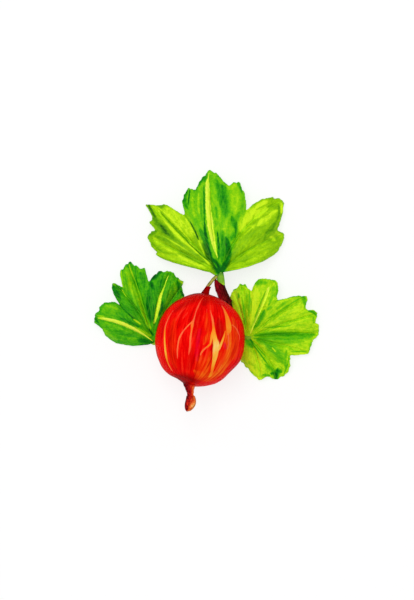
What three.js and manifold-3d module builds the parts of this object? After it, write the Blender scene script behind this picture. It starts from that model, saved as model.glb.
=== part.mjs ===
// A ripe red gooseberry as picked, lying on a table: one round berry with its withered flower still on,
// hanging by a thin fruit stalk from a short piece of woody spur, and the spur's three lobed leaves.
// Millimetres, +Z up. The origin is the middle of the small flat spot that the berry rests on, +Y runs
// from the withered flower towards the stalk, and the table is the plane z = 0.
import * as THREE from "three";
import { mergeVertices } from "three/addons/utils/BufferGeometryUtils.js";
import Module from "manifold-3d";

const wasm = await Module();
wasm.setup();

// ---- Driving dimensions ----
const BERRY_RADIUS = 10;
const BERRY_HALF_LENGTH = 10.33; // from the middle to either pole
const FLAT_SPOT_RADIUS = 2.2;
const BERRY_CENTRE_HEIGHT = Math.sqrt(BERRY_RADIUS ** 2 - FLAT_SPOT_RADIUS ** 2);
const BERRY_HEADING = THREE.MathUtils.degToRad(9.5); // stalk end turned from +Y towards +X
const BERRY_DIP = THREE.MathUtils.degToRad(8); // stalk end lower than the flower end
const POLE_SHIFT = -0.72; // both poles sit this far to the side of the middle

const BLADE_THICKNESS = 0.5;
const BLADE_EDGE_STEP = 1.7; // longest straight stretch of a leaf's edge
const BLADE_RINGS = [0.14, 0.3, 0.48, 0.66, 0.83, 1];
const TOUCHING = BLADE_THICKNESS / 2; // height of a blade's middle surface where it lies on the table

const COLOURS = {
  berry: 0xd61a10,
  witheredFlower: 0x9c3a18,
  stalk: 0x9aa63a,
  wood: 0x4a0f12,
  leafTop: 0x79bd16,
  leafLeft: 0x3f9a1c,
  leafRight: 0x8fc71c,
};

// ---- Shaping ----
const { lerp, clamp, smoothstep } = THREE.MathUtils;
const vector = ([x, y, z]) => new THREE.Vector3(x, y, z);

// A closed geometry as a solid that can be joined and cut, with its shared vertices merged.
function solid(geometry) {
  const bare = new THREE.BufferGeometry();
  bare.setAttribute("position", geometry.getAttribute("position"));
  bare.setIndex(geometry.index);
  const merged = mergeVertices(bare, 1e-4);
  return new wasm.Manifold(
    new wasm.Mesh({
      numProp: 3,
      vertProperties: merged.attributes.position.array,
      triVerts: new Uint32Array(merged.index.array),
    }),
  );
}

function geometryOf(made) {
  const { vertProperties, triVerts } = made.getMesh();
  const geometry = new THREE.BufferGeometry();
  geometry.setAttribute("position", new THREE.BufferAttribute(vertProperties, 3));
  geometry.setIndex(new THREE.BufferAttribute(triVerts, 1));
  geometry.computeVertexNormals();
  return geometry;
}

// What is left of a solid on the near side of a plane, whose normal points at what is taken away.
function cutAt(made, point, normal) {
  const size = 80;
  const block = new THREE.BoxGeometry(size, size, size).translate(0, 0, size / 2);
  const turn = new THREE.Quaternion().setFromUnitVectors(new THREE.Vector3(0, 0, 1), vector(normal).normalize());
  block.applyQuaternion(turn).translate(...point);
  return made.subtract(solid(block));
}

// A closed round rod along a smooth curve. Its radius runs evenly through the values given, and
// shape(angle, share) may make its section uneven.
function rod(points, radii, { steps = 14, sides = 12, shape = () => 1 } = {}) {
  const curve = new THREE.CatmullRomCurve3(points.map(vector));
  const frames = curve.computeFrenetFrames(steps);
  const positions = [];
  const index = [];
  for (let i = 0; i <= steps; i++) {
    const share = i / steps;
    const place = share * (radii.length - 1);
    const from = Math.min(Math.floor(place), radii.length - 2);
    const radius = lerp(radii[from], radii[from + 1], smoothstep(place - from, 0, 1));
    const centre = curve.getPointAt(share);
    for (let j = 0; j < sides; j++) {
      const angle = (2 * Math.PI * j) / sides;
      const reach = radius * shape(angle, share);
      const spoke = centre.clone();
      spoke.addScaledVector(frames.normals[i], reach * Math.cos(angle));
      spoke.addScaledVector(frames.binormals[i], reach * Math.sin(angle));
      positions.push(...spoke.toArray());
    }
  }
  const corner = (i, j) => i * sides + (j % sides);
  for (let i = 0; i < steps; i++) {
    for (let j = 0; j < sides; j++) {
      index.push(corner(i, j), corner(i, j + 1), corner(i + 1, j));
      index.push(corner(i, j + 1), corner(i + 1, j + 1), corner(i + 1, j));
    }
  }
  for (let j = 1; j < sides - 1; j++) {
    index.push(corner(0, 0), corner(0, j + 1), corner(0, j));
    index.push(corner(steps, 0), corner(steps, j), corner(steps, j + 1));
  }
  const geometry = new THREE.BufferGeometry();
  geometry.setAttribute("position", new THREE.Float32BufferAttribute(positions, 3));
  geometry.setIndex(index);
  return geometry;
}

// ---- Berry ----
const NECK_FOOT = 9.9;
const NECK_END = 11.9;
const NECK_FOOT_RADIUS = 1.35;
const NECK_END_RADIUS = 0.8;
const NECK_BEND = 0.1; // how fast the neck leans to the side
const FLOWER_SEAT_RADIUS = 1.15;

// The berry's radius at a distance y along its axis, from the flower end at -BERRY_HALF_LENGTH. Past
// the stalk end it draws out into a short neck.
function berryRadiusAt(y) {
  const share = Math.min(Math.abs(y) / BERRY_HALF_LENGTH, 1);
  const body = BERRY_RADIUS * Math.sqrt(1 - share ** 2.1);
  const neck = lerp(NECK_FOOT_RADIUS, NECK_END_RADIUS, smoothstep(y, NECK_FOOT, NECK_END));
  return Math.max(body, y > 0 ? neck : FLOWER_SEAT_RADIUS);
}

function berryProfile() {
  const rings = 22;
  const profile = [new THREE.Vector2(0, -BERRY_HALF_LENGTH)];
  for (let i = 0; i <= rings; i++) {
    const y = -BERRY_HALF_LENGTH * Math.cos((Math.PI * i) / rings);
    profile.push(new THREE.Vector2(berryRadiusAt(y), y));
  }
  for (const y of [10.8, 11.4, NECK_END]) profile.push(new THREE.Vector2(berryRadiusAt(y), y));
  profile.push(new THREE.Vector2(0, NECK_END));
  return profile;
}

function berry() {
  const body = new THREE.LatheGeometry(berryProfile(), 44);
  const places = body.getAttribute("position");
  for (let i = 0; i < places.count; i++) {
    const y = places.getY(i);
    const aside = POLE_SHIFT * Math.min((y / BERRY_RADIUS) ** 4, 1.1);
    const lean = NECK_BEND * Math.max(y - NECK_FOOT + 0.4, 0) ** 2;
    places.setX(i, places.getX(i) + aside + lean);
  }
  body.rotateX(-BERRY_DIP).rotateZ(-BERRY_HEADING).translate(0, 0, BERRY_CENTRE_HEIGHT);
  return cutAt(solid(body), [0, 0, 0], [0, 0, -1]);
}

// ---- Withered flower: the dried floral tube and the bud of shrivelled sepals at its end ----
const FLOWER_PATH = [
  [-2.46, -10.62, 11.32],
  [-2.2, -12.0, 11.5],
  [-2.15, -13.9, 11.75],
  [-2.75, -15.85, 12.0],
];
const FLOWER_RADII = [1.1, 0.72, 0.8, 1.3, 0.95, 0.2];
const SEPALS = 5;

function witheredFlower() {
  const folded = (angle, share) => 1 + 0.12 * smoothstep(share, 0.3, 0.6) * Math.cos(SEPALS * angle);
  return solid(rod(FLOWER_PATH, FLOWER_RADII, { steps: 12, sides: 15, shape: folded }));
}

// ---- Fruit stalk: from the berry's neck up to the tip of the spur ----
const STALK_PATH = [
  [1.82, 12.05, 8.05],
  [2.1, 12.55, 7.85],
  [2.6, 13.15, 7.45],
  [3.15, 13.8, 7.05],
];
const STALK_RADII = [0.42, 0.32, 0.26];

function fruitStalk() {
  return solid(rod(STALK_PATH, STALK_RADII, { steps: 8, sides: 10 }));
}

// ---- Woody spur: a short piece of last year's wood, cut off under the berry ----
const SPUR_PATH = [
  [4.0, 13.6, 6.7],
  [4.85, 11.0, 5.1],
  [5.6, 8.7, 3.5],
  [6.0, 7.0, 2.25],
  [6.0, 5.6, 1.5],
];
const SPUR_RADII = [0.92, 1.0, 1.12, 1.32, 1.25, 1.2];
const SPUR_TIP = { point: [4.15, 12.75, 6.3], normal: [0.48, 0.87, 0.1] };

function woodySpur() {
  const angular = (angle) => 1 + 0.05 * Math.cos(5 * angle);
  const whole = solid(rod(SPUR_PATH, SPUR_RADII, { steps: 16, sides: 15, shape: angular }));
  return cutAt(whole, SPUR_TIP.point, SPUR_TIP.normal);
}

// ---- Leaves ----
// A blade is star-shaped round its base, where the leaf stalk meets it. Its edge is a list of points
// measured from the base, running clockwise. Its spokes are the main veins and, first and last, the two
// free margins: each has the angle of its tip, how many degrees it curls on the way there, its length
// and the height of its tip. Between two veins the blade rises in a pleat.
const LEAVES = {
  leaf_top: {
    colour: COLOURS.leafTop,
    base: [4.51, 14.89, 6.9],
    arch: 1.3,
    pleat: 0.9,
    edge: [
      [-1.9, 0.1], [-4.6, 0.8], [-7.9, 1.7], [-10.8, 2.5], [-12.8, 3.3], [-13.9, 3.9], [-14.0, 4.5],
      [-15.2, 5.8], [-16.1, 7.7], [-15.6, 8.6], [-14.3, 9.2],
      [-15.7, 11.3], [-15.0, 11.7], [-15.6, 13.4], [-16.6, 15.1], [-14.9, 15.0], [-13.7, 14.8],
      [-12.4, 15.2], [-10.1, 13.9], [-7.8, 12.4],
      [-8.3, 14.7], [-8.5, 15.7], [-8.0, 17.4], [-7.0, 18.6], [-5.6, 18.2], [-4.7, 20.0], [-3.6, 21.6],
      [-2.4, 22.6], [-0.6, 21.6], [0.6, 20.3], [1.7, 19.2], [3.0, 19.9], [3.9, 20.1], [4.7, 18.7],
      [5.3, 17.0], [5.6, 15.2], [5.6, 13.7],
      [7.2, 15.1], [9.2, 16.2], [11.1, 16.6], [12.8, 16.4], [13.8, 15.4], [13.6, 13.2], [13.0, 10.7],
      [12.5, 9.6], [14.0, 8.3], [13.3, 6.5], [12.0, 4.7], [9.2, 3.0], [6.1, 1.5], [3.4, 0.6], [1.4, 0.1],
    ],
    spokes: [
      { angle: 179, curl: 0, length: 10, tip: 5.0 },
      { angle: 154, curl: -3, length: 17.9, tip: 1.6, vein: true },
      { angle: 137, curl: -4, length: 22.4, tip: TOUCHING, vein: true },
      { angle: 96, curl: 8, length: 22.6, tip: 1.0, vein: true },
      { angle: 50, curl: 25, length: 20.9, tip: TOUCHING, vein: true },
      { angle: 31, curl: 17, length: 16.2, tip: 1.2, vein: true },
      { angle: 2, curl: 0, length: 8, tip: 5.2 },
    ],
    stalk: [
      [4.58, 13.2, 6.75],
      [4.6, 14.0, 6.85],
      [4.5, 15.2, 6.95],
      [4.2, 17.0, 6.9],
    ],
    stalkRadii: [0.76, 0.7, 0.6, 0.35],
  },
  leaf_left: {
    colour: COLOURS.leafLeft,
    base: [-10.38, -0.67, 1.5],
    arch: 0.9,
    pleat: 0.8,
    edge: [
      [-2.8, -0.7], [-4.3, -0.6], [-6.6, -0.5], [-8.8, 0.3], [-10.4, 1.5], [-11.1, 3.0], [-12.6, 4.2],
      [-13.2, 5.3], [-12.6, 6.5], [-11.7, 7.0], [-11.8, 7.8], [-10.1, 8.8], [-8.6, 8.8], [-7.6, 8.5],
      [-8.7, 10.4], [-9.1, 11.8], [-9.2, 13.1], [-7.9, 12.7], [-6.9, 12.1],
      [-7.2, 13.8], [-7.4, 15.5], [-6.4, 16.7], [-5.4, 17.9], [-4.3, 17.1], [-3.2, 16.6], [-2.0, 16.5],
      [-1.6, 15.0], [-1.2, 13.4],
      [-0.3, 14.6], [0.9, 15.8], [2.3, 15.6], [3.9, 15.9], [4.7, 14.7], [6.6, 13.4], [6.2, 12.0],
      [6.9, 10.3], [6.1, 8.1], [4.7, 5.6], [2.8, 3.2], [1.3, 1.4],
    ],
    spokes: [
      { angle: 190, curl: 0, length: 6, tip: TOUCHING },
      { angle: 158, curl: -13, length: 14.2, tip: 2.6, vein: true },
      { angle: 125, curl: -17, length: 16.0, tip: 1.8, vein: true },
      { angle: 107, curl: -1, length: 18.7, tip: TOUCHING, vein: true },
      { angle: 77, curl: 13, length: 16.3, tip: 2.2, vein: true },
      { angle: 63, curl: 14, length: 14.6, tip: 1.2, vein: true },
      { angle: 44, curl: 0, length: 7, tip: 0.9 },
    ],
    stalk: [
      [-11.2, -0.2, 1.5],
      [-10.2, -0.75, 1.4],
      [-8.4, -0.3, 0.8],
      [-6.8, 1.7, 0.54],
      [-4.8, 4.5, 0.52],
      [-1.2, 6.4, 0.55],
      [2.2, 6.8, 0.9],
      [4.35, 6.6, 1.5],
    ],
    stalkRadii: [0.35, 0.5, 0.5, 0.5, 0.52, 0.62],
  },
  leaf_right: {
    colour: COLOURS.leafRight,
    base: [10.73, 0.51, 1.6],
    arch: 0.9,
    pleat: 0.7,
    edge: [
      [-1.9, 3.3], [-3.0, 5.8], [-3.8, 7.6], [-3.8, 9.1], [-3.1, 10.3], [-2.3, 10.8], [-1.6, 11.6],
      [-0.6, 11.5], [0.0, 10.7], [0.8, 10.3],
      [1.2, 11.3], [2.0, 12.4], [3.4, 12.8], [4.8, 12.8], [6.2, 12.1], [6.6, 10.9], [6.3, 8.9], [6.6, 8.3],
      [8.8, 8.9], [11.0, 9.2], [12.7, 9.0], [12.8, 8.2], [12.6, 7.0], [12.9, 6.0],
      [14.3, 6.0], [15.3, 5.3], [14.9, 3.8], [15.7, 1.8], [15.2, 0.2], [14.0, -1.0], [13.8, -2.4],
      [13.2, -3.4], [11.4, -3.7], [9.3, -3.6],
      [9.3, -5.6], [8.7, -7.4], [7.4, -8.6], [6.3, -9.5], [5.3, -8.8], [3.9, -8.2], [2.9, -9.3],
      [1.7, -8.3], [0.0, -6.6], [-1.5, -4.7], [-1.2, -2.7], [-0.7, -1.4],
    ],
    spokes: [
      { angle: 119, curl: 0, length: 8.4, tip: 0.75 },
      { angle: 107, curl: -4, length: 10.7, tip: 1.5, vein: true },
      { angle: 96, curl: 4, length: 11.6, tip: 2.2, vein: true },
      { angle: 67, curl: -3, length: 13.8, tip: 3.0, vein: true },
      { angle: 34.5, curl: 6, length: 15.4, tip: 2.6, vein: true },
      { angle: 19, curl: 5, length: 16.2, tip: 1.6, vein: true },
      { angle: 3, curl: 6, length: 15.8, tip: TOUCHING, vein: true },
      { angle: -14, curl: 4, length: 13.8, tip: 1.4, vein: true },
      { angle: -56, curl: 20, length: 11.4, tip: TOUCHING, vein: true },
      { angle: -73, curl: 14, length: 9.7, tip: 1.2, vein: true },
      { angle: -112, curl: 0, length: 5, tip: 0.8 },
    ],
    stalk: [
      [11.5, 0.65, 1.65],
      [10.6, 0.5, 1.5],
      [9.1, 0.8, 0.85],
      [7.8, 2.4, 0.75],
      [7.2, 3.75, 1.05],
    ],
    stalkRadii: [0.4, 0.55, 0.55, 0.62],
  },
};

// The height of a blade's middle surface, at a distance and an angle in degrees from its base.
function bladeHeight({ base, spokes, arch, pleat }, distance, angle) {
  const direction = ({ angle: tip, curl, length }) => tip + curl * (1 - Math.min(distance / length, 1));
  let k = 0;
  while (k < spokes.length - 2 && angle < direction(spokes[k + 1])) k++;
  const [before, after] = [spokes[k], spokes[k + 1]];
  const gap = direction(before) - direction(after);
  const share = clamp((direction(before) - angle) / gap, 0, 1);
  const turn = smoothstep(share, 0, 1);
  const along = distance / lerp(before.length, after.length, turn);
  const sweep = lerp(base[2], lerp(before.tip, after.tip, turn), along) + 4 * arch * along * (1 - along);
  const pleated = before.vein && after.vein ? Math.sin(Math.PI * share) ** 0.8 : 0;
  const height = sweep + pleat * pleated * smoothstep(along, 0, 0.6);
  return Math.max(height, TOUCHING);
}

// The edge with extra points, so that no stretch is longer than BLADE_EDGE_STEP.
function fineEdge(edge) {
  const fine = [];
  edge.forEach(([x, y], i) => {
    fine.push([x, y]);
    const next = edge[i + 1];
    if (!next) return;
    const pieces = Math.ceil(Math.hypot(next[0] - x, next[1] - y) / BLADE_EDGE_STEP);
    for (let j = 1; j < pieces; j++) fine.push([lerp(x, next[0], j / pieces), lerp(y, next[1], j / pieces)]);
  });
  return fine;
}

// A blade as a closed sheet: scaled copies of its edge are the rings of its upper and lower faces.
function blade(leaf) {
  const edge = fineEdge(leaf.edge);
  const [baseX, baseY, baseZ] = leaf.base;
  const positions = [];
  const index = [];
  for (const side of [1, -1]) {
    positions.push(baseX, baseY, baseZ + side * TOUCHING);
    for (const ring of BLADE_RINGS) {
      for (const [x, y] of edge) {
        let angle = THREE.MathUtils.radToDeg(Math.atan2(y, x));
        if (angle < -150) angle += 360;
        const height = bladeHeight(leaf, ring * Math.hypot(x, y), angle);
        positions.push(baseX + ring * x, baseY + ring * y, height + side * TOUCHING);
      }
    }
  }
  const count = edge.length;
  const perSide = 1 + BLADE_RINGS.length * count;
  const corner = (side, ring, i) => side * perSide + (ring < 0 ? 0 : 1 + ring * count + i);
  const face = (side, a, b, c) => index.push(...(side === 0 ? [a, b, c] : [a, c, b]));
  for (const side of [0, 1]) {
    for (let i = 0; i < count - 1; i++) {
      face(side, corner(side, -1, 0), corner(side, 0, i + 1), corner(side, 0, i));
      for (let ring = 0; ring < BLADE_RINGS.length - 1; ring++) {
        const quad = [[ring, i], [ring, i + 1], [ring + 1, i + 1], [ring + 1, i]];
        const [a, b, c, d] = quad.map(([r, j]) => corner(side, r, j));
        face(side, a, b, c);
        face(side, a, c, d);
      }
    }
  }
  // The rim runs out along the first margin, round the edge and back along the last margin.
  const last = BLADE_RINGS.length - 1;
  const rim = [[-1, 0]];
  for (let ring = 0; ring < last; ring++) rim.push([ring, 0]);
  for (let i = 0; i < count; i++) rim.push([last, i]);
  for (let ring = last - 1; ring >= 0; ring--) rim.push([ring, count - 1]);
  rim.forEach(([ring, i], k) => {
    const [nextRing, nextI] = rim[(k + 1) % rim.length];
    const [a, b] = [corner(0, ring, i), corner(0, nextRing, nextI)];
    const [c, d] = [corner(1, nextRing, nextI), corner(1, ring, i)];
    index.push(a, b, c, a, c, d);
  });
  const geometry = new THREE.BufferGeometry();
  geometry.setAttribute("position", new THREE.Float32BufferAttribute(positions, 3));
  geometry.setIndex(index);
  return geometry;
}

function leaf(plan) {
  const stalk = rod(plan.stalk, plan.stalkRadii, { steps: 3 * plan.stalk.length, sides: 10 });
  return solid(blade(plan)).add(solid(stalk));
}

// ---- Assembly ----
const gooseberry = new THREE.Group();

function place(name, made, colour, roughness) {
  const material = new THREE.MeshStandardMaterial({ color: colour, roughness, metalness: 0 });
  const mesh = new THREE.Mesh(geometryOf(made), material);
  mesh.name = name;
  gooseberry.add(mesh);
}

place("berry", berry(), COLOURS.berry, 0.25);
place("withered_flower", witheredFlower(), COLOURS.witheredFlower, 0.8);
place("fruit_stalk", fruitStalk(), COLOURS.stalk, 0.5);
place("woody_spur", woodySpur(), COLOURS.wood, 0.7);
for (const [name, plan] of Object.entries(LEAVES)) place(name, leaf(plan), plan.colour, 0.55);

export default gooseberry;
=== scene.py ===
"""A ripe red gooseberry as picked, with its withered flower, stalk, bit of woody spur and three leaves,
lying on a pale table and seen from straight above. Shapes are worked out in millimetres and turned to
metres in make()."""

import math
import random

import bpy
import numpy as np
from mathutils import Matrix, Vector, noise
from mathutils.bvhtree import BVHTree


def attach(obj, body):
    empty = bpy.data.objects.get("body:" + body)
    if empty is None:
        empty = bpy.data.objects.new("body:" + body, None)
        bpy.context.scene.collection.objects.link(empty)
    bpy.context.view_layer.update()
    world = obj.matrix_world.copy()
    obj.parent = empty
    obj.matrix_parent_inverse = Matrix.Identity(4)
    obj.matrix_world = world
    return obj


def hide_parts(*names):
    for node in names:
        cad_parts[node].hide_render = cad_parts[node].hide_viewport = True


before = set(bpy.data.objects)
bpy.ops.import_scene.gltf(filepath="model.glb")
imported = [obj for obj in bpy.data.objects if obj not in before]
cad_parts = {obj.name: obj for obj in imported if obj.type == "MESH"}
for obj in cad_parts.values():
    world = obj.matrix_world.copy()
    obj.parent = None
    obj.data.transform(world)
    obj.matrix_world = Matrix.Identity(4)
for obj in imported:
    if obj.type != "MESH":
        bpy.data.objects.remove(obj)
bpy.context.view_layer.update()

MM = 0.001
CAMERA_PLACE = (1.42, 8.88, 1000.0)
# The distance that counts as far from any line, and the depth that counts as well outside any band.
FAR = 9.0
OUTSIDE = -6.0
TINY = 1e-6


# ---- Curves and distances ----
def rounded(rows, times=2, cut=0.25):
    """A polyline, rows of numbers, with its corners cut off a few times. Its ends stay."""
    rows = np.asarray(rows, float)
    for _ in range(times):
        near = rows[:-1] * (1 - cut) + rows[1:] * cut
        far = rows[:-1] * cut + rows[1:] * (1 - cut)
        middle = np.stack([near, far], 1).reshape(-1, rows.shape[1])
        rows = np.vstack([rows[:1], middle, rows[-1:]])
    return rows


def evenly(rows, count, dims=3):
    """A polyline's rows again at evenly spaced places along it. Its first dims columns are the place."""
    rows = np.asarray(rows, float)
    steps = np.linalg.norm(np.diff(rows[:, :dims], axis=0), axis=1)
    travelled = np.concatenate([[0], np.cumsum(steps)])
    wanted = np.linspace(0, travelled[-1], count)
    return np.stack([np.interp(wanted, travelled, column) for column in rows.T], 1)


def nearest(points, line):
    """Each point's distance to a polyline, and the place of the nearest spot counted in the line's rows."""
    best = np.full(len(points), np.inf)
    place = np.zeros(len(points))
    for i in range(len(line) - 1):
        start, way = line[i], line[i + 1] - line[i]
        share = np.clip((points - start) @ way / max(way @ way, TINY**2), 0, 1)
        distance = np.linalg.norm(points - start - share[:, None] * way, axis=1)
        closer = distance < best
        best[closer] = distance[closer]
        place[closer] = i + share[closer]
    return best, place


def band_depth(points, rows):
    """How deep in a band each point is: 1 on its middle line, 0 at its edge, below 0 outside. Each row is a
    place on the middle line and the half width there."""
    rows = rounded(rows)
    distance, place = nearest(points, rows[:, :-1])
    half = np.interp(place, np.arange(len(rows)), rows[:, -1])
    return np.clip(1 - distance / half, OUTSIDE, 1)


def smooth(value, low, high):
    """A smooth rise from 0, at low and below, to 1, at high and above."""
    share = np.clip((value - low) / (high - low), 0, 1)
    return share * share * (3 - 2 * share)


def bell(value, width):
    """1 at a value of 0, fading on both sides over the width."""
    return np.exp(-((value / width) ** 2))


def rough(points, size, seed):
    """Smooth noise from about -0.5 to 0.5 at each point, with bumps of about the size given."""
    return np.array([noise.noise(Vector(p) / size + Vector((seed, 0, 0))) for p in points])


def bumps(points, layers):
    """Layers of noise added up. Each has its height, the size of its bumps and its seed."""
    return sum(height * rough(points, size, seed) for height, size, seed in layers)


# ---- Meshes ----
def turned_over(face):
    """A face that looks the other way and starts at the same corner."""
    return face[:1] + face[:0:-1]


def tube_faces(rings, sides):
    """Faces of a closed tube of rings. The two points after the rings close its first and last ring."""
    pairs = [(j, (j + 1) % sides) for j in range(sides)]
    last_ring = (rings - 1) * sides
    faces = []
    for a in range(0, last_ring, sides):
        b = a + sides
        faces += [(a + j, b + j, b + k, a + k) for j, k in pairs]
    first_end, last_end = rings * sides, rings * sides + 1
    for j, k in pairs:
        faces += [(first_end, j, k), (last_end, last_ring + k, last_ring + j)]
    return faces


def sheet_faces(top, border, count):
    """Faces of a thin closed sheet: its top faces, the same underneath, where the points are count further
    on, and a rim along the border, which runs with the rim's faces to its outside."""
    faces = []
    for face in top:
        faces += [face, tuple(count + corner for corner in turned_over(face))]
    return faces + [(a, b, count + b, count + a) for a, b in zip(border, border[1:] + border[:1])]


def joined(*parts):
    """Several (points, faces, values) as one."""
    points = np.vstack([part[0] for part in parts])
    faces = []
    start = 0
    for part in parts:
        faces += [tuple(start + corner for corner in face) for face in part[1]]
        start += len(part[0])
    values = {key: np.concatenate([part[2][key] for part in parts]) for key in parts[0][2]}
    return points, faces, values


ROD_CUTS = 3


def sweep(rows, steps, sides, bulge):
    """A closed round rod. Each row is a place on its middle line and the radius there, which is multiplied by
    bulge(angles, share). Returns points, faces, and each point's angle and share of the length."""
    path = evenly(rounded(rows, ROD_CUTS), steps + 1)
    middle, radii = path[:, :3], path[:, 3]
    ahead = np.gradient(middle, axis=0)
    ahead /= np.linalg.norm(ahead, axis=1)[:, None]
    side = np.cross(ahead[0], (0, 0, 1))
    side /= np.linalg.norm(side)
    turns = 2 * np.pi * np.arange(sides) / sides
    rings = []
    for i, (centre, way) in enumerate(zip(middle, ahead)):
        side = side - way * (side @ way)
        side /= np.linalg.norm(side)
        up = np.cross(side, way)
        reach = radii[i] * bulge(turns, i / steps)
        rings.append(centre + np.outer(reach * np.cos(turns), side) + np.outer(reach * np.sin(turns), up))
    points = np.vstack(rings + [middle[:1], middle[-1:]])
    angles = np.append(np.tile(turns, steps + 1), [0, 0])
    shares = np.append(np.repeat(np.arange(steps + 1) / steps, sides), [0, 1])
    return points, tube_faces(steps + 1, sides), angles, shares


def outward_from(points, rows, steps, shares):
    """Each point's way out from the middle line of the rod that it belongs to."""
    middle = evenly(rounded(rows, ROD_CUTS), steps + 1)[:, :3]
    away = points - middle[np.clip((shares * steps).astype(int), 0, steps)]
    return away / np.maximum(np.linalg.norm(away, axis=1), TINY)[:, None]


def make(name, points, faces, material, node, values):
    """A smooth piece of the object from points in millimetres, with named values stored on its points."""
    mesh = bpy.data.meshes.new(name)
    mesh.from_pydata((np.asarray(points) * MM).tolist(), [], faces)
    mesh.validate()
    mesh.shade_smooth()
    for key, value in values.items():
        value = np.asarray(value, np.float32)
        if value.ndim == 2:
            mesh.attributes.new(key, "FLOAT_VECTOR", "POINT").data.foreach_set("vector", value.ravel())
        else:
            mesh.attributes.new(key, "FLOAT", "POINT").data.foreach_set("value", value)
    mesh.materials.append(material)
    piece = bpy.data.objects.new(name, mesh)
    bpy.context.scene.collection.objects.link(piece)
    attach(piece, "root")
    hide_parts(node)


# ---- Materials ----
def srgb(red, green, blue):
    """A colour as it is seen, 0 to 255, in the linear numbers that shaders use."""
    seen = np.array([red, green, blue]) / 255
    linear = np.where(seen <= 0.04045, seen / 12.92, ((seen + 0.055) / 1.055) ** 2.4)
    return (*linear.tolist(), 1.0)


# The sockets of a Mix node that colours use. Their names stand for others too, so they go by number.
MIX_SHARE, MIX_FIRST, MIX_SECOND, MIX_RESULT = 0, 6, 7, 2


class Shader:
    """A material's node tree, written as expressions."""

    def __init__(self, name):
        self.material = bpy.data.materials.new(name)
        self.material.use_nodes = True
        self.tree = self.material.node_tree

    def put(self, node, key, value):
        if isinstance(value, bpy.types.NodeSocket):
            self.tree.links.new(value, node.inputs[key])
        else:
            node.inputs[key].default_value = value

    def new(self, kind, inputs, **settings):
        node = self.tree.nodes.new(kind)
        for key, value in settings.items():
            setattr(node, key, value)
        for key, value in inputs.items():
            self.put(node, key, value)
        return node

    def value(self, name):
        return self.new("ShaderNodeAttribute", {}, attribute_name=name).outputs["Fac"]

    def vector(self, name):
        return self.new("ShaderNodeAttribute", {}, attribute_name=name).outputs["Vector"]

    def place(self):
        """The place on the object, in millimetres."""
        seen = self.new("ShaderNodeTexCoord", {}).outputs["Object"]
        return self.new("ShaderNodeVectorMath", {0: seen, "Scale": 1 / MM}, operation="SCALE").outputs[0]

    def noise(self, where, size, detail, roughness=0.5):
        """Noise from 0 to 1 with bumps of the size given."""
        inputs = {"Vector": where, "Scale": 1 / size, "Detail": detail, "Roughness": roughness}
        return self.new("ShaderNodeTexNoise", inputs).outputs["Fac"]

    def math(self, operation, a, b):
        return self.new("ShaderNodeMath", {0: a, 1: b}, operation=operation).outputs[0]

    def add(self, a, b):
        return self.math("ADD", a, b)

    def times(self, a, b):
        return self.math("MULTIPLY", a, b)

    def about(self, value, amount):
        """A 0 to 1 value as a swing of that amount about zero."""
        return self.times(self.math("SUBTRACT", value, 0.5), 2 * amount)

    def step(self, value, low, high, to_low=0.0, to_high=1.0):
        """A value brought smoothly from one range to another."""
        inputs = {"Value": value, "From Min": low, "From Max": high, "To Min": to_low, "To Max": to_high}
        return self.new("ShaderNodeMapRange", inputs, interpolation_type="SMOOTHSTEP").outputs[0]

    def ramp(self, value, stops):
        """A colour ramp through (place, colour) stops."""
        node = self.new("ShaderNodeValToRGB", {"Fac": value})
        elements = node.color_ramp.elements
        while len(elements) < len(stops):
            elements.new(0.5)
        for element, (place, colour) in zip(elements, stops):
            element.position = place
            element.color = srgb(*colour)
        return node.outputs["Color"]

    def mix(self, share, *colours):
        """A share of the second colour over the first. A colour is a socket or as srgb() takes it."""
        first, second = (srgb(*c) if isinstance(c, tuple) else c for c in colours)
        inputs = {MIX_SHARE: share, MIX_FIRST: first, MIX_SECOND: second}
        node = self.new("ShaderNodeMix", inputs, data_type="RGBA", clamp_factor=True)
        return node.outputs[MIX_RESULT]

    def bump(self, height, depth, strength):
        """A surface normal disturbed by a height of 0 to 1 that stands for a depth in millimetres."""
        inputs = {"Height": height, "Distance": depth * MM, "Strength": strength}
        return self.new("ShaderNodeBump", inputs).outputs["Normal"]

    def finish(self, **inputs):
        for key, value in inputs.items():
            self.put(self.tree.nodes["Principled BSDF"], key.replace("_", " "), value)
        return self.material


# ---- Berry ----
RADIUS = 10.0
HALF_LENGTH = 10.33
BLUNTNESS = 2.1
FLAT_SPOT_RADIUS = 2.2
CENTRE_HEIGHT = math.sqrt(RADIUS**2 - FLAT_SPOT_RADIUS**2)
LOWEST_SKIN = 0.02
HEADING = math.radians(9.5)
DIP = math.radians(8)
# Where along the axis the neck starts, where it is down to its own radius, and where it ends.
NECK_FOOT = 9.9
NECK_WAIST = 11.9
NECK_END = 12.05
NECK_RADIUS = 0.36
NECK_FLARE = 0.54
NECK_FILLET = 0.28
# How far the berry's ends bend to the left, and how strongly the neck bends back.
END_BEND = 0.72
NECK_BEND = 0.09
BERRY_SIDES = 300
BERRY_RINGS = 190
# The body's rings are closer together towards its ends. The first one is a small turn off the pole.
BODY_RINGS = 160
FIRST_RING_TURN = 0.02
BODY_RINGS_END = 9.4
NECK_RINGS_START = 9.45
# The body's unevenness, as layers for bumps(), which fades out before the neck.
BERRY_SWELL = [(0.16, 6.0, 3.1), (0.05, 1.6, 8.4)]
SWELL_FADES_FROM = 8.5
SWELL_ENDS = 9.5
# Sides where the berry is a little flatter: compass angle from the frame's x, spread in degrees, depth.
FLATTER_SIDES = [(112, 14, 0.3), (160, 15, 0.16), (239, 13, 0.68), (313, 16, 0.55), (2, 26, 0.25)]
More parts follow.
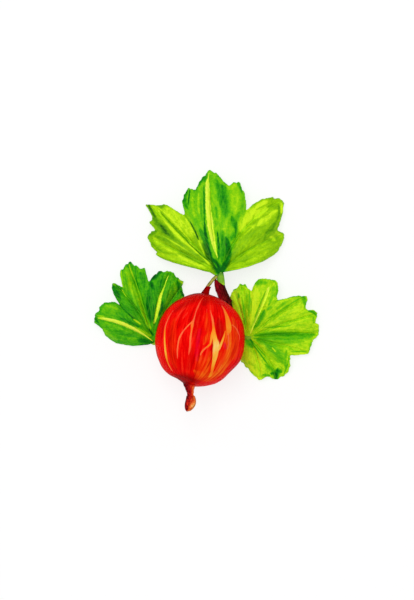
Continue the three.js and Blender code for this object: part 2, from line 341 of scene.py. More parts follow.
# Painted shade on the rim where the skin turns sideways: compass angle, spread, strength, and how far out
# level it starts.
RIM_SHADE_SIDES = [
    (244, 18, 0.85, 0.87), (128, 26, 0.6, 0.94), (162, 14, 0.5, 0.96), (200, 20, 0.35, 0.96),
    (4, 20, 0.5, 0.95), (320, 22, 0.35, 0.93), (82, 12, 0.3, 0.9),
]

# Pale veins of the side seen from above: places in millimetres in the frame with half widths, then how
# yellow they are at even steps along, from pink at 0 to pale yellow at 1, and how strongly they show.
VEINS = [
    ([
        (-5.82, 6.87, 0.06), (-6.28, 6.3, 0.09), (-6.76, 5.57, 0.13), (-7.19, 4.7, 0.17), (-7.55, 3.84, 0.19),
        (-7.84, 2.97, 0.23), (-7.96, 1.81, 0.25), (-7.99, 0.66, 0.25), (-7.96, -0.5, 0.27),
        (-7.87, -1.66, 0.32), (-7.77, -2.81, 0.36), (-7.63, -3.82, 0.36), (-7.34, -4.84, 0.26),
        (-7.05, -5.56, 0.23), (-6.61, -6.35, 0.2), (-6.22, -6.98, 0.07),
    ], (0.1, 0.2, 0.35, 0.75, 0.8, 0.5, 0.3), 1.0),
    ([
        (0.62, 9.5, 0.05), (0.14, 8.9, 0.09), (-0.18, 8.25, 0.12), (-0.54, 7.52, 0.17), (-0.83, 6.87, 0.17),
        (-1.02, 6.3, 0.12), (-1.22, 5.57, 0.13), (-1.45, 4.7, 0.17), (-1.7, 3.98, 0.26), (-1.87, 3.26, 0.32),
        (-1.94, 2.54, 0.17), (-2.06, 1.81, 0.14), (-2.17, 1.09, 0.17), (-2.26, 0.37, 0.2), (-2.3, -0.5, 0.19),
        (-2.35, -1.37, 0.17), (-2.43, -2.09, 0.17), (-2.57, -2.81, 0.12), (-2.67, -3.39, 0.06),
    ], (0.0, 0.15, 0.45, 0.25, 0.1), 0.95),
    ([
        (-1.84, 4.13, 0.12), (-2.28, 3.69, 0.14), (-2.78, 3.19, 0.14), (-3.29, 2.68, 0.13),
        (-3.79, 2.03, 0.14), (-4.23, 1.38, 0.16), (-4.59, 0.73, 0.19), (-4.83, 0.08, 0.17),
        (-4.98, -0.64, 0.17), (-5.07, -1.37, 0.17), (-5.14, -2.09, 0.17), (-5.17, -2.81, 0.16),
        (-5.15, -3.54, 0.13), (-5.12, -4.11, 0.06),
    ], (0.4, 0.25, 0.3, 0.2), 1.0),
    ([
        (-3.29, 7.31, 0.07), (-3.79, 6.73, 0.14), (-4.37, 6.15, 0.2), (-4.81, 5.57, 0.2), (-5.24, 4.85, 0.14),
        (-5.53, 4.13, 0.07),
    ], (0.0,), 0.4),
    ([(-2.93, 6.08, 0.12), (-3.5, 5.28, 0.23), (-3.94, 4.85, 0.12)], (0.0,), 0.3),
    ([(1.34, 7.16, 0.07), (1.35, 6.58, 0.12), (1.37, 6.01, 0.07)], (0.0,), 0.5),
    ([
        (2.16, 6.87, 0.06), (2.28, 6.15, 0.1), (2.42, 5.57, 0.14), (2.6, 4.85, 0.22), (2.74, 4.13, 0.26),
        (2.81, 3.4, 0.26), (2.86, 2.68, 0.29), (2.93, 1.81, 0.38), (3.07, 0.95, 0.46), (3.2, 0.22, 0.54),
        (3.34, -0.5, 0.72), (3.51, -1.22, 0.75), (3.43, -1.95, 0.8), (3.36, -2.52, 0.69), (3.26, -3.25, 0.61),
        (3.15, -3.97, 0.58), (3.0, -4.69, 0.46), (2.86, -5.41, 0.4), (2.68, -6.14, 0.35), (2.54, -6.86, 0.32),
        (2.35, -7.51, 0.32), (2.06, -8.02, 0.29), (1.77, -8.23, 0.12),
    ], (0.1, 0.3, 0.5, 0.75, 1.0, 0.85, 0.75, 0.5, 0.7), 1.0),
    ([
        (2.81, 2.39, 0.12), (2.62, 1.67, 0.2), (2.45, 0.95, 0.23), (2.31, 0.22, 0.23), (2.19, -0.5, 0.17),
        (2.13, -1.01, 0.07),
    ], (0.6,), 1.0),
    ([
        (2.13, -0.93, 0.2), (1.7, -1.37, 0.17), (1.27, -1.66, 0.16), (0.83, -2.02, 0.17), (0.47, -2.38, 0.17),
        (0.18, -2.81, 0.16), (-0.04, -3.25, 0.12), (-0.14, -3.61, 0.06),
    ], (0.5, 0.35, 0.3), 1.0),
    ([(0.18, -4.11, 0.09), (-0.18, -4.69, 0.07)], (0.0,), 0.5),
    ([
        (3.94, -2.16, 0.23), (4.09, -1.95, 0.32), (4.37, -1.37, 0.29), (4.66, -0.64, 0.29),
        (4.95, 0.08, 0.26), (5.17, 0.8, 0.2), (5.34, 1.38, 0.14), (5.46, 1.96, 0.09),
    ], (0.95, 0.8, 0.5), 1.0),
    ([
        (4.59, 7.67, 0.07), (4.95, 7.23, 0.17), (5.24, 6.73, 0.23), (5.53, 6.01, 0.36), (5.78, 5.28, 0.48),
        (5.99, 4.56, 0.61), (6.15, 3.84, 0.72), (6.28, 3.11, 0.84), (6.3, 2.39, 0.75), (6.18, 1.81, 0.51),
        (6.11, 1.24, 0.26),
    ], (0.3, 0.45, 0.54, 0.62, 0.5), 1.0),
    ([
        (6.04, 1.67, 0.17), (6.15, 0.95, 0.17), (6.21, 0.08, 0.17), (6.18, -0.79, 0.17), (6.07, -1.51, 0.13),
        (5.92, -2.23, 0.1), (5.79, -2.74, 0.06),
    ], (0.3, 0.2, 0.4), 0.9),
    ([
        (7.05, 3.33, 0.09), (7.27, 3.19, 0.12), (7.7, 2.83, 0.17), (8.06, 2.25, 0.2), (8.35, 1.67, 0.2),
        (8.6, 1.09, 0.17), (8.68, 0.37, 0.14), (8.68, -0.36, 0.09),
    ], (0.3, 0.15), 0.8),
    ([(4.81, -5.27, 0.07), (4.45, -5.99, 0.14), (4.16, -6.5, 0.14), (3.8, -7.01, 0.09)], (0.45,), 0.9),
]
# Soft patches of the same side: kind, strength, how wide the soft edge is as a share of the half width, and
# the middle line with half widths.
PATCHES = [
    ("orange", 0.85, 0.9, [
        (6.2, 3.2, 0.7), (6.15, 1.67, 1.0), (6.25, 0.22, 1.0), (6.4, -1.22, 1.0), (6.4, -2.67, 1.0),
        (6.1, -4.11, 1.0), (5.4, -5.56, 1.0), (4.4, -7.0, 1.0),
    ]),
    ("orange", 0.44, 0.9, [
        (7.2, 4.6, 0.5), (7.6, 2.6, 0.9), (7.7, 0.4, 1.0), (7.6, -2.0, 1.0), (7.2, -3.8, 0.7),
    ]),
    ("orange", 0.14, 0.95, [
        (-5.8, 4.5, 0.4), (-6.3, 2.0, 0.8), (-6.3, -1.0, 0.9), (-6.2, -4.0, 0.8), (-5.6, -6.0, 0.4),
    ]),
    ("orange", 0.25, 0.9, [(1.41, 6.0, 0.2), (1.41, 4.13, 0.4), (1.5, 2.6, 0.5), (1.7, 1.52, 0.3)]),
    ("orange", 0.6, 0.9, [(1.9, 1.7, 0.1), (1.6, 0.9, 0.42), (1.2, 0.1, 0.45), (0.8, -0.9, 0.15)]),
    ("orange", 0.6, 0.9, [(2.1, -2.6, 0.2), (1.8, -4.2, 0.45), (1.5, -5.6, 0.5), (1.2, -7.0, 0.4)]),
    ("orange", 0.8, 0.95, [
        (-1.2, -6.9, 0.3), (-0.4, -7.4, 0.9), (1.2, -8.0, 1.2), (3.0, -7.9, 1.2), (4.6, -7.2, 0.9),
    ]),
    ("orange", 0.4, 0.9, [(-0.9, -8.3, 0.4), (0.4, -8.8, 0.6), (1.8, -9.0, 0.6), (3.2, -8.8, 0.5)]),
    ("orange", 0.35, 0.95, [(0.2, -4.4, 0.8), (0.6, -6.0, 1.2), (0.8, -7.0, 1.2)]),
    ("orange", 0.3, 0.95, [(4.4, -3.0, 0.6), (4.2, -4.6, 0.9), (3.8, -6.0, 0.9)]),
    ("dark", 0.38, 0.5, [
        (3.9, 5.0, 0.1), (4.09, 4.0, 0.7), (4.23, 2.97, 1.05), (4.37, 1.81, 0.87), (4.3, 0.66, 0.58),
        (4.16, -0.36, 0.32), (4.09, -1.22, 0.07),
    ]),
    # Painted shade where the neck meets the berry.
    ("dark", 0.46, 0.95, [(1.5, 9.6, 1.3), (1.2, 8.8, 1.1), (0.7, 7.9, 0.5)]),
    ("dark", 0.2, 0.9, [(-0.04, 7.31, 0.43), (-0.61, 4.99, 0.51), (-0.9, 2.97, 0.51), (-1.48, 0.95, 0.36)]),
    ("dark", 0.2, 0.9, [(-2.06, -1.95, 0.43), (-2.35, -4.26, 0.51), (-2.64, -6.28, 0.58)]),
    ("dark", 0.4, 0.95, [(-1.6, 8.8, 0.9), (-2.8, 8.35, 1.0), (-4.2, 7.5, 0.9), (-5.5, 6.6, 0.6)]),
    # Painted shade beside the flower end.
    ("dark", 0.75, 1.0, [
        (-5.6, -7.6, 0.3), (-4.8, -8.1, 0.7), (-3.9, -8.3, 1.1), (-2.8, -8.5, 1.4), (-1.9, -9.0, 1.3),
    ]),
    ("magenta", 0.38, 0.95, [
        (-0.18, 2.39, 0.2), (-0.47, 0.95, 0.28), (-0.61, -0.5, 0.32), (-0.76, -1.95, 0.34),
        (-0.9, -3.39, 0.3), (-0.76, -4.55, 0.2),
    ]),
    ("magenta", 0.8, 0.8, [(5.34, -0.79, 0.2), (5.46, -1.37, 0.25), (5.53, -1.95, 0.15)]),
    ("magenta", 0.35, 0.9, [(9.07, -3.54, 0.29), (8.21, -4.84, 0.43), (6.9, -6.14, 0.43)]),
]


def berry_point(along, around):
    """The place on the berry at a distance along its axis and an angle round it from the top."""
    along, around = np.broadcast_arrays(np.asarray(along, float), np.asarray(around, float))
    share = np.clip(np.abs(along) / HALF_LENGTH, 0, 1)
    body = RADIUS * np.sqrt(np.maximum(1 - share**BLUNTNESS, 0))
    neck = np.where(along > 0, NECK_RADIUS + NECK_FLARE * (1 - smooth(along, NECK_FOOT, NECK_WAIST)), 0)
    fillet = NECK_FILLET * bell(body - neck, 0.8) * (along > 0)
    radius = np.maximum(body, neck) + fillet
    x = radius * np.sin(around) - END_BEND * np.minimum((along / RADIUS) ** 4, 1.1)
    x = x + NECK_BEND * np.maximum(along - NECK_FOOT + 0.4, 0) ** 2
    z = radius * np.cos(around)
    y, z = along * math.cos(DIP) + z * math.sin(DIP), z * math.cos(DIP) - along * math.sin(DIP)
    x, y = x * math.cos(HEADING) + y * math.sin(HEADING), y * math.cos(HEADING) - x * math.sin(HEADING)
    return np.stack([x, y, z + CENTRE_HEIGHT], -1)


def berry_side_veins():
    """Veins on the sides and underneath, from the stalk end towards the flower end, as VEINS has them but
    with their height."""
    chance = random.Random(21)
    vein_rows, fork_rows = 12, 7
    veins = []
    for degrees in range(100, 265, 17):
        start = math.radians(degrees + chance.uniform(-5, 5))
        top, bottom = chance.uniform(6.0, 8.8), chance.uniform(-7.8, -4.5)
        width = chance.uniform(0.14, 0.34)
        along = np.linspace(top, bottom, vein_rows)
        wiggle = 0.05 * np.sin(along * chance.uniform(0.5, 0.9) + chance.uniform(0, 6))
        swell = np.sin(np.linspace(0.12, math.pi - 0.12, vein_rows))
        rows = np.hstack([berry_point(along, start + wiggle), (width * swell)[:, None]])
        veins.append((rows, (chance.uniform(0.1, 0.4), chance.uniform(0.4, 0.95)), 0.9))
        if chance.random() < 0.5:
            fork = np.linspace(chance.uniform(1, 4), chance.uniform(-5, -2), fork_rows)
            turn = start + chance.choice([-1, 1]) * np.linspace(0.0, 0.22, fork_rows) ** 0.8
            rows = np.hstack([berry_point(fork, turn), np.linspace(0.14, 0.05, fork_rows)[:, None]])
            veins.append((rows, (0.4, 0.3), 0.9))
    return veins


def berry_material():
    shader = Shader("berry_skin")
    streak_place = shader.vector("streak")
    streaks = shader.noise(streak_place, 0.55, 4, 0.6)
    broad = shader.noise(streak_place, 1.9, 2)
    fine = shader.noise(shader.place(), 0.35, 2)
    redness = shader.add(shader.add(streaks, shader.about(broad, 0.2)), shader.about(fine, 0.08))
    colour = shader.ramp(redness, [
        (0.28, (188, 0, 2)), (0.43, (230, 2, 2)), (0.56, (250, 12, 5)), (0.74, (255, 50, 24)),
    ])
    orange = shader.times(shader.value("orange"), shader.step(streaks, 0.3, 0.6, 0.45, 1.0))
    warm = shader.mix(shader.step(streaks, 0.4, 0.66), (246, 78, 8), (255, 124, 24))
    colour = shader.mix(orange, colour, warm)
    magenta = shader.times(shader.value("magenta"), shader.step(fine, 0.36, 0.6, 0.35, 1.25))
    colour = shader.mix(magenta, colour, (225, 0, 62))
    # dark holds the skin's darker streaks, with painted shade round the neck, the flower end and the rim.
    dark = shader.add(shader.value("dark"), shader.times(shader.about(streaks, 0.35), shader.value("dark")))
    colour = shader.mix(dark, colour, (112, 0, 2))
    pale = shader.ramp(shader.add(shader.value("vein_tone"), shader.about(streaks, 0.22)), [
        (0.0, (255, 66, 46)), (0.3, (255, 112, 66)), (0.52, (255, 128, 26)), (0.78, (255, 176, 52)),
        (1.0, (255, 208, 112)),
    ])
    edge = shader.add(shader.value("vein"), shader.about(streaks, 0.3))
    shown = shader.times(shader.step(edge, -0.2, 0.25), shader.value("vein_strength"))
    colour = shader.mix(shown, colour, pale)
    relief = shader.add(shader.times(shader.noise(shader.place(), 0.5, 3), 0.5), shader.times(streaks, 0.5))
    return shader.finish(
        Base_Color=colour, Roughness=shader.step(fine, 0.2, 0.8, 0.3, 0.45), Specular_IOR_Level=0.006,
        Subsurface_Weight=0.1, Subsurface_Radius=(1.0, 0.2, 0.1), Subsurface_Scale=0.6 * MM,
        Normal=shader.bump(relief, 0.02, 0.5),
    )


def facing(outward, toward, spread):
    """How nearly each outward way points towards a compass angle: 1 at it, fading over the spread."""
    compass = np.degrees(np.arctan2(outward[:, 1], outward[:, 0]))
    return bell((compass - toward + 180) % 360 - 180, spread)


def berry_shape():
    """The berry's points and faces, and each point's place along the axis, angle round it and way outward."""
    body = -HALF_LENGTH * np.cos(np.linspace(FIRST_RING_TURN, math.pi, BODY_RINGS))
    body = body[body < BODY_RINGS_END]
    rings = np.concatenate([body, np.linspace(NECK_RINGS_START, NECK_END, BERRY_RINGS - len(body))])
    turns = 2 * np.pi * np.arange(BERRY_SIDES) / BERRY_SIDES
    along, around = (grid.ravel() for grid in np.meshgrid(rings, turns, indexing="ij"))
    points = berry_point(along, around)
    points = np.vstack([points, berry_point(-HALF_LENGTH, 0.0), points[-BERRY_SIDES:].mean(0)])
    along = np.append(along, [-HALF_LENGTH, NECK_END])
    around = np.append(around, [0, 0])
    outward = points - (0, 0, CENTRE_HEIGHT)
    outward /= np.linalg.norm(outward, axis=1)[:, None]
    swell = bumps(points, BERRY_SWELL) * (1 - smooth(along, SWELL_FADES_FROM, SWELL_ENDS))
    points = points + outward * swell[:, None]
    level = np.hypot(outward[:, 0], outward[:, 1])
    for toward, spread, depth in FLATTER_SIDES:
        points = points - outward * (depth * level**4 * facing(outward, toward, spread))[:, None]
    points[:, 2] = np.maximum(points[:, 2], LOWEST_SKIN)
    faces = [turned_over(face) for face in tube_faces(BERRY_RINGS, BERRY_SIDES)]
    return points, faces, along, around, outward


def on_top(surface, rows):
    """Rows that start with x and y on the table, brought up to where the berry hides that spot from the
    camera."""
    lifted = []
    eye = Vector(CAMERA_PLACE)
    for x, y, *rest in rows:
        spot = surface.ray_cast(eye, Vector((x, y, 0)) - eye)[0] or Vector((x, y, CENTRE_HEIGHT))
        lifted.append((*spot, *rest))
    return lifted


def berry_vein_values(points, surface):
    """How deep in a vein each point is, and that vein's tone and strength there."""
    vein = np.full(len(points), OUTSIDE)
    tone, strength = np.zeros(len(points)), np.zeros(len(points))
    upper_veins = [(on_top(surface, rows), *rest) for rows, *rest in VEINS]
    for rows, tones, shows in upper_veins + berry_side_veins():
        depth = band_depth(points, rows)
        place = nearest(points, np.asarray(rows)[:, :3])[1] / (len(rows) - 1)
        better = depth > vein
        vein[better] = depth[better]
        tone[better] = np.interp(place, np.linspace(0, 1, len(tones)), tones)[better]
        strength[better] = shows
    return {"vein": vein, "vein_tone": tone, "vein_strength": strength}


def berry_darkness_and_shade(along, around, outward):
    """Painted shade round the flower end and on the rim where the skin turns sideways, and skin darker
    towards the neck, more so on the left.
    """
    left = smooth(-np.sin(around), 0.2, 0.95)
    # Painted shade round the flower end, deeper on the left.
    flower_end_shade_depth = 0.8 - 0.66 * smooth(np.sin(around), -0.3, 0.45)
    flower_end_shade = flower_end_shade_depth * smooth(-along, 8.8, 10.2)
    shoulder = (0.3 + 0.2 * left) * smooth(along, 6.6, 8.8)
    neck = shoulder + (0.5 + 0.24 * left) * smooth(along, 8.8, 10.2)
    dark = np.maximum(neck, flower_end_shade)
    level = np.hypot(outward[:, 0], outward[:, 1])
    # Painted shade along the rim, where the skin turns sideways.
    for toward, spread, amount, start in RIM_SHADE_SIDES:
        side = amount * facing(outward, toward, spread) * smooth(level, start, start + 0.8 * (1 - start))
        dark = np.maximum(dark, side)
    return dark


def berry():
    points, faces, along, around, outward = berry_shape()
    surface = BVHTree.FromPolygons(points.tolist(), faces)
    values = {kind: np.zeros(len(points)) for kind in ("orange", "dark", "magenta")}
    for kind, amount, soft, rows in PATCHES:
        mask = amount * smooth(band_depth(points, on_top(surface, rows)), -soft, soft)
        values[kind] = np.maximum(values[kind], mask)
    underneath = smooth(-np.cos(around), 0.25, 0.9)
    flush = smooth(rough(points, 5.0, 12.0), 0.05, 0.4) * underneath
    values["orange"] = np.maximum(values["orange"], 0.6 * flush)
    values["dark"] = np.maximum(values["dark"], berry_darkness_and_shade(along, around, outward))
    values.update(berry_vein_values(points, surface))
    values["streak"] = np.stack([RADIUS * np.sin(around), RADIUS * np.cos(around), along * 0.12], 1)
    make("berry_fruit", points, faces, berry_material(), "berry", values)


# ---- Leaves ----
BLADE_THICKNESS = 0.34
LOWEST_MIDDLE = 0.25
LOWEST_UNDERSIDE = 0.03
RIM_POINTS = 460
RIM_MARGIN = 0.12
BLADE_RINGS = 60
BLADE_POINTS = 1 + BLADE_RINGS * RIM_POINTS
STALK_STEPS = 70
STALK_SIDES = 28
# The edge's fine teeth and the blade's unevenness, as layers for bumps().
TEETH = [(0.42, 1.1, 0), (0.2, 0.45, 5)]
RUFFLES = [(0.5, 3.2, 0), (0.16, 1.1, 0), (0.05, 0.45, 0)]
# The cushions between veins, the grooves on top of main veins, and the ribs below them and below side veins.
CUSHION_HEIGHT = 0.16
GROOVE_DEPTH = 0.3
RIB_HEIGHT = 0.42
RIB_LOSS = 0.3
RIB_LENGTH = 20
SIDE_RIB_HEIGHT = 0.1
# How far a blade's rim curls down, and what share of its thickness it loses.
RIM_CURL = 0.25
RIM_THINNING = 0.55
# Edge angles below this one belong to the far side of the gap that the leaf stalk comes in through.
SEAM_ANGLE = -150
# The slanting end of the spur, which the top leaf's stalk stands on.
SPUR_TIP = np.array((4.2, 12.9, 6.3))
SPUR_TIP_NORMAL = np.array((0.58, 0.81, 0.1))

# Everything flat on a blade is measured from its base, where the leaf stalk meets it. An edge runs clockwise.
# Strokes are shades of green, from dark at 0 to light at 1: shade, half width, softness and middle line, with
# later ones on top.
TOP_EDGE = [
    (-1.1, -0.62), (-1.9, -0.1), (-4.6, 0.65), (-7.9, 1.5), (-10.8, 2.3), (-12.8, 3.1), (-14.1, 3.85),
    (-14.0, 4.5), (-15.2, 5.8), (-16.2, 7.7), (-15.8, 8.8), (-14.3, 9.2), (-15.85, 11.3), (-15.0, 11.7),
    (-15.6, 13.4), (-16.75, 15.15), (-14.9, 15.0), (-13.7, 14.9), (-12.4, 15.25), (-10.1, 13.95),
    (-7.8, 12.4), (-8.3, 14.7), (-8.5, 15.7), (-8.0, 17.4), (-7.05, 18.75), (-5.6, 18.2), (-4.7, 20.0),
    (-3.6, 21.65), (-2.4, 22.8), (-0.6, 21.65), (0.6, 20.3), (1.7, 19.2), (3.0, 19.9), (4.0, 20.25),
    (4.75, 18.7), (5.35, 17.0), (5.65, 15.2), (5.6, 13.7), (7.2, 15.15), (9.2, 16.3), (11.1, 16.7),
    (13.0, 16.55), (13.95, 15.4), (13.7, 13.2), (12.95, 10.7), (12.35, 9.6), (14.15, 8.3), (13.55, 6.4),
    (12.5, 4.6), (11.0, 3.45), (9.3, 2.5), (6.1, 1.3), (3.4, 0.62), (1.5, 0.25),
]
TOP_STROKES = [
    (0.88, 1.5, 1.0, [(-12.5, 14.2), (-10.3, 12.6), (-8.3, 10.8), (-6.5, 8.3)]),
    (0.98, 0.3, 0.25, [(-7.8, 12.0), (-6.6, 10.2), (-5.6, 8.4)]),
    (0.85, 0.7, 0.5, [(-15.2, 14.6), (-14.0, 13.4), (-13.0, 12.0)]),
    (0.5, 0.4, 0.35, [(-13.8, 14.8), (-12.4, 14.9)]),
    (0.18, 0.26, 0.18, [(-16.2, 15.3), (-15.4, 14.0), (-14.8, 12.8), (-14.0, 11.5)]),
    (0.35, 0.75, 0.6, [(-14.9, 12.2), (-13.4, 10.4), (-12.0, 9.0), (-10.4, 7.6)]),
    (0.05, 0.36, 0.3, [(-13.3, 10.5), (-12.4, 9.4), (-11.4, 8.2)]),
    (0.5, 0.4, 0.3, [(-10.2, 7.6), (-8.4, 6.1)]),
    (1.0, 0.46, 0.28, [
        (-13.8, 13.8), (-12.2, 11.4), (-11.0, 9.9), (-9.5, 8.3), (-8.2, 7.1), (-7.0, 6.3), (-5.5, 5.0),
        (-4.2, 3.4), (-2.3, 1.8),
    ]),
    (1.1, 0.22, 0.16, [(-12.6, 11.8), (-10.4, 9.2), (-8.2, 7.1)]),
    (0.45, 0.24, 0.15, [(-13.3, 13.4), (-11.5, 11.4), (-10.0, 9.8), (-8.5, 8.1), (-7.0, 6.6)]),
    (1.0, 0.18, 0.11, [(-13.7, 14.4), (-12.0, 13.0), (-10.2, 11.2), (-8.3, 8.9), (-6.4, 6.7)]),
    (0.25, 0.14, 0.09, [(-7.4, 6.8), (-6.0, 5.5), (-5.0, 4.6), (-4.0, 3.6), (-2.8, 2.7)]),
    (0.38, 0.35, 0.28, [(-16.2, 8.1), (-15.2, 8.8), (-14.1, 9.3)]),
    (0.5, 0.4, 0.3, [(-14.5, 8.1), (-12.8, 7.3), (-11.0, 6.5)]),
    (0.92, 0.14, 0.1, [(-12.7, 8.1), (-10.5, 6.8), (-9.0, 5.9), (-6.8, 4.5)]),
    (0.6, 0.4, 0.35, [(-9.0, 5.1), (-6.8, 4.3), (-4.8, 3.3)]),
    (0.9, 0.5, 0.45, [(-14.9, 7.7), (-13.0, 6.1), (-11.2, 5.0), (-9.4, 4.5)]),
    (0.5, 0.2, 0.16, [(-16.3, 8.2), (-15.2, 6.6), (-14.2, 5.6), (-13.2, 4.8), (-11.8, 4.0)]),
    (0.85, 0.5, 0.35, [(-13.7, 4.1), (-11.0, 3.6), (-8.3, 2.8)]),
    (0.98, 0.38, 0.28, [(-9.7, 4.1), (-7.5, 2.8), (-5.5, 1.9), (-3.3, 1.1)]),
    (0.55, 0.25, 0.2, [(-7.7, 3.7), (-6.0, 2.9), (-4.4, 1.9)]),
    (0.85, 0.12, 0.1, [(-12.8, 3.6), (-10.0, 2.8), (-7.5, 2.0), (-5.0, 1.2), (-2.8, 0.7)]),
    (0.55, 0.3, 0.2, [(-5.4, 4.2), (-4.2, 3.0), (-3.2, 2.0)]),
    (0.62, 1.2, 0.9, [(-5.3, 18.3), (-6.0, 15.0), (-5.3, 11.7)]),
    (0.8, 0.3, 0.25, [(-6.3, 16.7), (-6.3, 14.5), (-5.7, 12.3)]),
    (0.8, 0.25, 0.2, [(-4.9, 17.7), (-5.0, 15.5), (-4.7, 12.8)]),
    (0.48, 0.2, 0.15, [(-4.4, 16.2), (-4.3, 13.5), (-4.0, 10.6)]),
    (0.26, 0.45, 0.3, [(-7.4, 18.6), (-8.1, 16.8), (-8.0, 15.6), (-7.4, 14.2)]),
    (0.05, 0.14, 0.1, [(-6.8, 18.5), (-7.05, 16.7), (-7.2, 15.0)]),
    (0.25, 0.25, 0.18, [(-5.9, 18.2), (-5.0, 19.4), (-4.0, 20.9), (-3.0, 22.2)]),
    (0.35, 0.35, 0.25, [(-3.3, 21.6), (-3.6, 20.1)]),
    (0.3, 0.5, 0.4, [(-4.6, 9.6), (-4.1, 8.3), (-3.7, 7.2)]),
    (0.2, 0.22, 0.14, [(-3.75, 19.3), (-3.65, 16.0), (-3.6, 13.0), (-3.6, 10.6)]),
    (0.15, 0.85, 0.6, [(-3.6, 7.0), (-3.1, 5.0), (-2.4, 2.9)]),
    (0.03, 0.36, 0.22, [(-3.6, 11.2), (-3.45, 9.0), (-3.1, 7.0), (-2.8, 5.2), (-2.3, 3.8), (-1.7, 2.2)]),
    (0.9, 0.2, 0.14, [(-5.0, 7.5), (-4.3, 5.6), (-3.5, 3.8)]),
    (0.5, 0.15, 0.1, [(-7.8, 12.8), (-7.1, 11.6), (-6.4, 10.6)]),
    (0.0, 0.19, 0.12, [(-6.7, 11.2), (-6.0, 9.8), (-5.5, 8.8), (-4.9, 7.3)]),
    (0.7, 0.5, 0.4, [(-1.6, 20.7), (-1.5, 18.0), (-1.2, 15.3)]),
    (0.32, 1.0, 0.7, [(-0.7, 21.3), (0.0, 19.0), (0.4, 17.0), (0.8, 15.0), (1.1, 12.6)]),
    (0.2, 0.3, 0.25, [(0.1, 19.8), (0.6, 17.5), (1.0, 15.2)]),
    (0.62, 0.4, 0.3, [(-0.9, 21.2), (0.0, 20.3), (0.8, 19.5)]),
    (0.4, 0.25, 0.2, [(-1.1, 14.7), (-0.85, 12.3)]),
    (0.75, 0.3, 0.25, [(-0.6, 15.8), (-0.3, 13.0), (-0.1, 10.8)]),
    (0.82, 0.6, 0.5, [(1.4, 19.2), (2.4, 19.0), (3.4, 19.7)]),
    (0.8, 0.8, 0.6, [(3.2, 19.0), (3.4, 16.0), (3.1, 13.0)]),
    (0.35, 0.2, 0.15, [(3.6, 20.3), (4.3, 19.0), (4.9, 17.3)]),
    (0.6, 0.2, 0.15, [(4.9, 17.7), (5.0, 15.5), (4.8, 13.6)]),
    (0.55, 0.35, 0.3, [(4.8, 13.8), (3.8, 12.2)]),
    (0.8, 0.5, 0.4, [(1.2, 12.0), (1.0, 10.0), (0.6, 8.8)]),
    (0.3, 0.55, 0.45, [(2.4, 12.4), (2.8, 11.2), (3.4, 9.8)]),
    (0.22, 0.22, 0.16, [(3.5, 11.2), (3.45, 9.4), (3.1, 7.7)]),
    (0.42, 0.5, 0.4, [(2.7, 8.8), (2.3, 7.2)]),
    (0.1, 0.26, 0.15, [(-0.75, 8.9), (-0.55, 7.0), (-0.45, 5.2), (-0.3, 3.3)]),
    (0.4, 0.5, 0.4, [(0.4, 9.2), (0.1, 7.3)]),
    (0.3, 0.5, 0.35, [(0.4, 8.3), (0.45, 6.0), (0.4, 4.0), (0.2, 2.5)]),
    (0.33, 0.26, 0.2, [(-0.4, 5.2), (-0.5, 4.0), (-0.45, 2.8)]),
    (0.13, 0.74, 0.3, [(1.1, 7.7), (1.6, 6.2), (1.7, 4.8), (1.75, 3.4), (1.35, 2.0), (0.5, 0.7)]),
    (0.55, 0.5, 0.4, [(3.0, 6.2), (3.1, 4.2), (2.6, 2.4)]),
    (0.98, 1.1, 0.7, [(10.2, 15.9), (8.0, 14.0), (6.3, 12.4), (5.1, 10.8), (4.4, 9.4)]),
    (0.75, 0.6, 0.4, [(13.0, 15.6), (10.8, 15.7)]),
    (0.72, 0.2, 0.16, [(11.8, 15.6), (9.4, 14.8), (7.8, 14.0)]),
    (1.1, 0.3, 0.2, [(9.9, 15.9), (7.8, 14.4)]),
    (0.95, 0.3, 0.25, [(6.4, 14.4), (5.6, 13.8)]),
    (1.1, 0.36, 0.25, [(7.5, 13.7), (6.0, 12.0), (5.0, 10.4), (4.4, 9.2)]),
    (0.95, 0.8, 0.6, [(12.3, 13.8), (10.2, 12.2), (8.3, 10.5)]),
    (1.08, 0.4, 0.3, [(10.4, 14.3), (9.0, 13.2), (7.4, 12.0)]),
    (0.68, 0.13, 0.1, [(10.9, 13.3), (9.3, 12.4), (8.0, 11.6), (6.6, 10.7)]),
    (0.95, 0.4, 0.3, [(7.6, 10.6), (6.0, 9.5), (4.6, 8.2)]),
    (0.62, 0.24, 0.2, [(6.8, 10.2), (5.4, 9.0), (4.2, 7.8)]),
    (0.36, 0.2, 0.15, [(12.7, 15.4), (13.05, 13.8), (12.8, 12.2), (12.0, 10.9)]),
    (1.0, 0.3, 0.25, [(13.4, 15.6), (13.6, 14.4), (13.5, 13.2)]),
    (0.34, 0.4, 0.3, [(12.3, 11.4), (11.6, 10.4), (11.3, 9.6), (10.3, 8.6)]),
    (0.4, 0.3, 0.25, [(11.2, 10.4), (10.1, 8.8), (9.5, 7.4)]),
    (0.92, 0.4, 0.35, [(11.0, 8.0), (12.1, 7.2)]),
    (0.8, 0.5, 0.4, [(12.2, 9.0), (13.6, 8.2)]),
    (0.5, 0.35, 0.3, [(9.8, 7.4), (8.9, 6.4), (8.4, 5.5)]),
    (0.7, 0.8, 0.6, [(4.3, 6.8), (6.5, 6.6), (8.2, 7.3)]),
    (0.75, 1.2, 0.9, [(5.7, 4.1), (8.5, 5.2), (11.3, 6.3)]),
    (0.68, 0.2, 0.14, [(14.1, 7.9), (13.1, 6.0), (12.0, 4.8), (10.2, 3.8)]),
    (0.8, 0.6, 0.5, [(10.5, 4.8), (8.2, 3.4), (5.8, 2.5)]),
    (0.55, 0.3, 0.25, [(5.9, 3.0), (4.7, 2.4)]),
    (0.8, 0.4, 0.3, [(3.0, 1.4), (5.2, 2.1)]),
    (0.82, 0.14, 0.1, [(9.0, 2.7), (6.5, 1.6), (4.2, 1.0), (2.2, 0.7)]),
    (0.03, 0.9, 0.5, [(-2.0, 3.1), (-1.2, 1.6), (-0.3, 0.5), (0.2, -0.6)]),
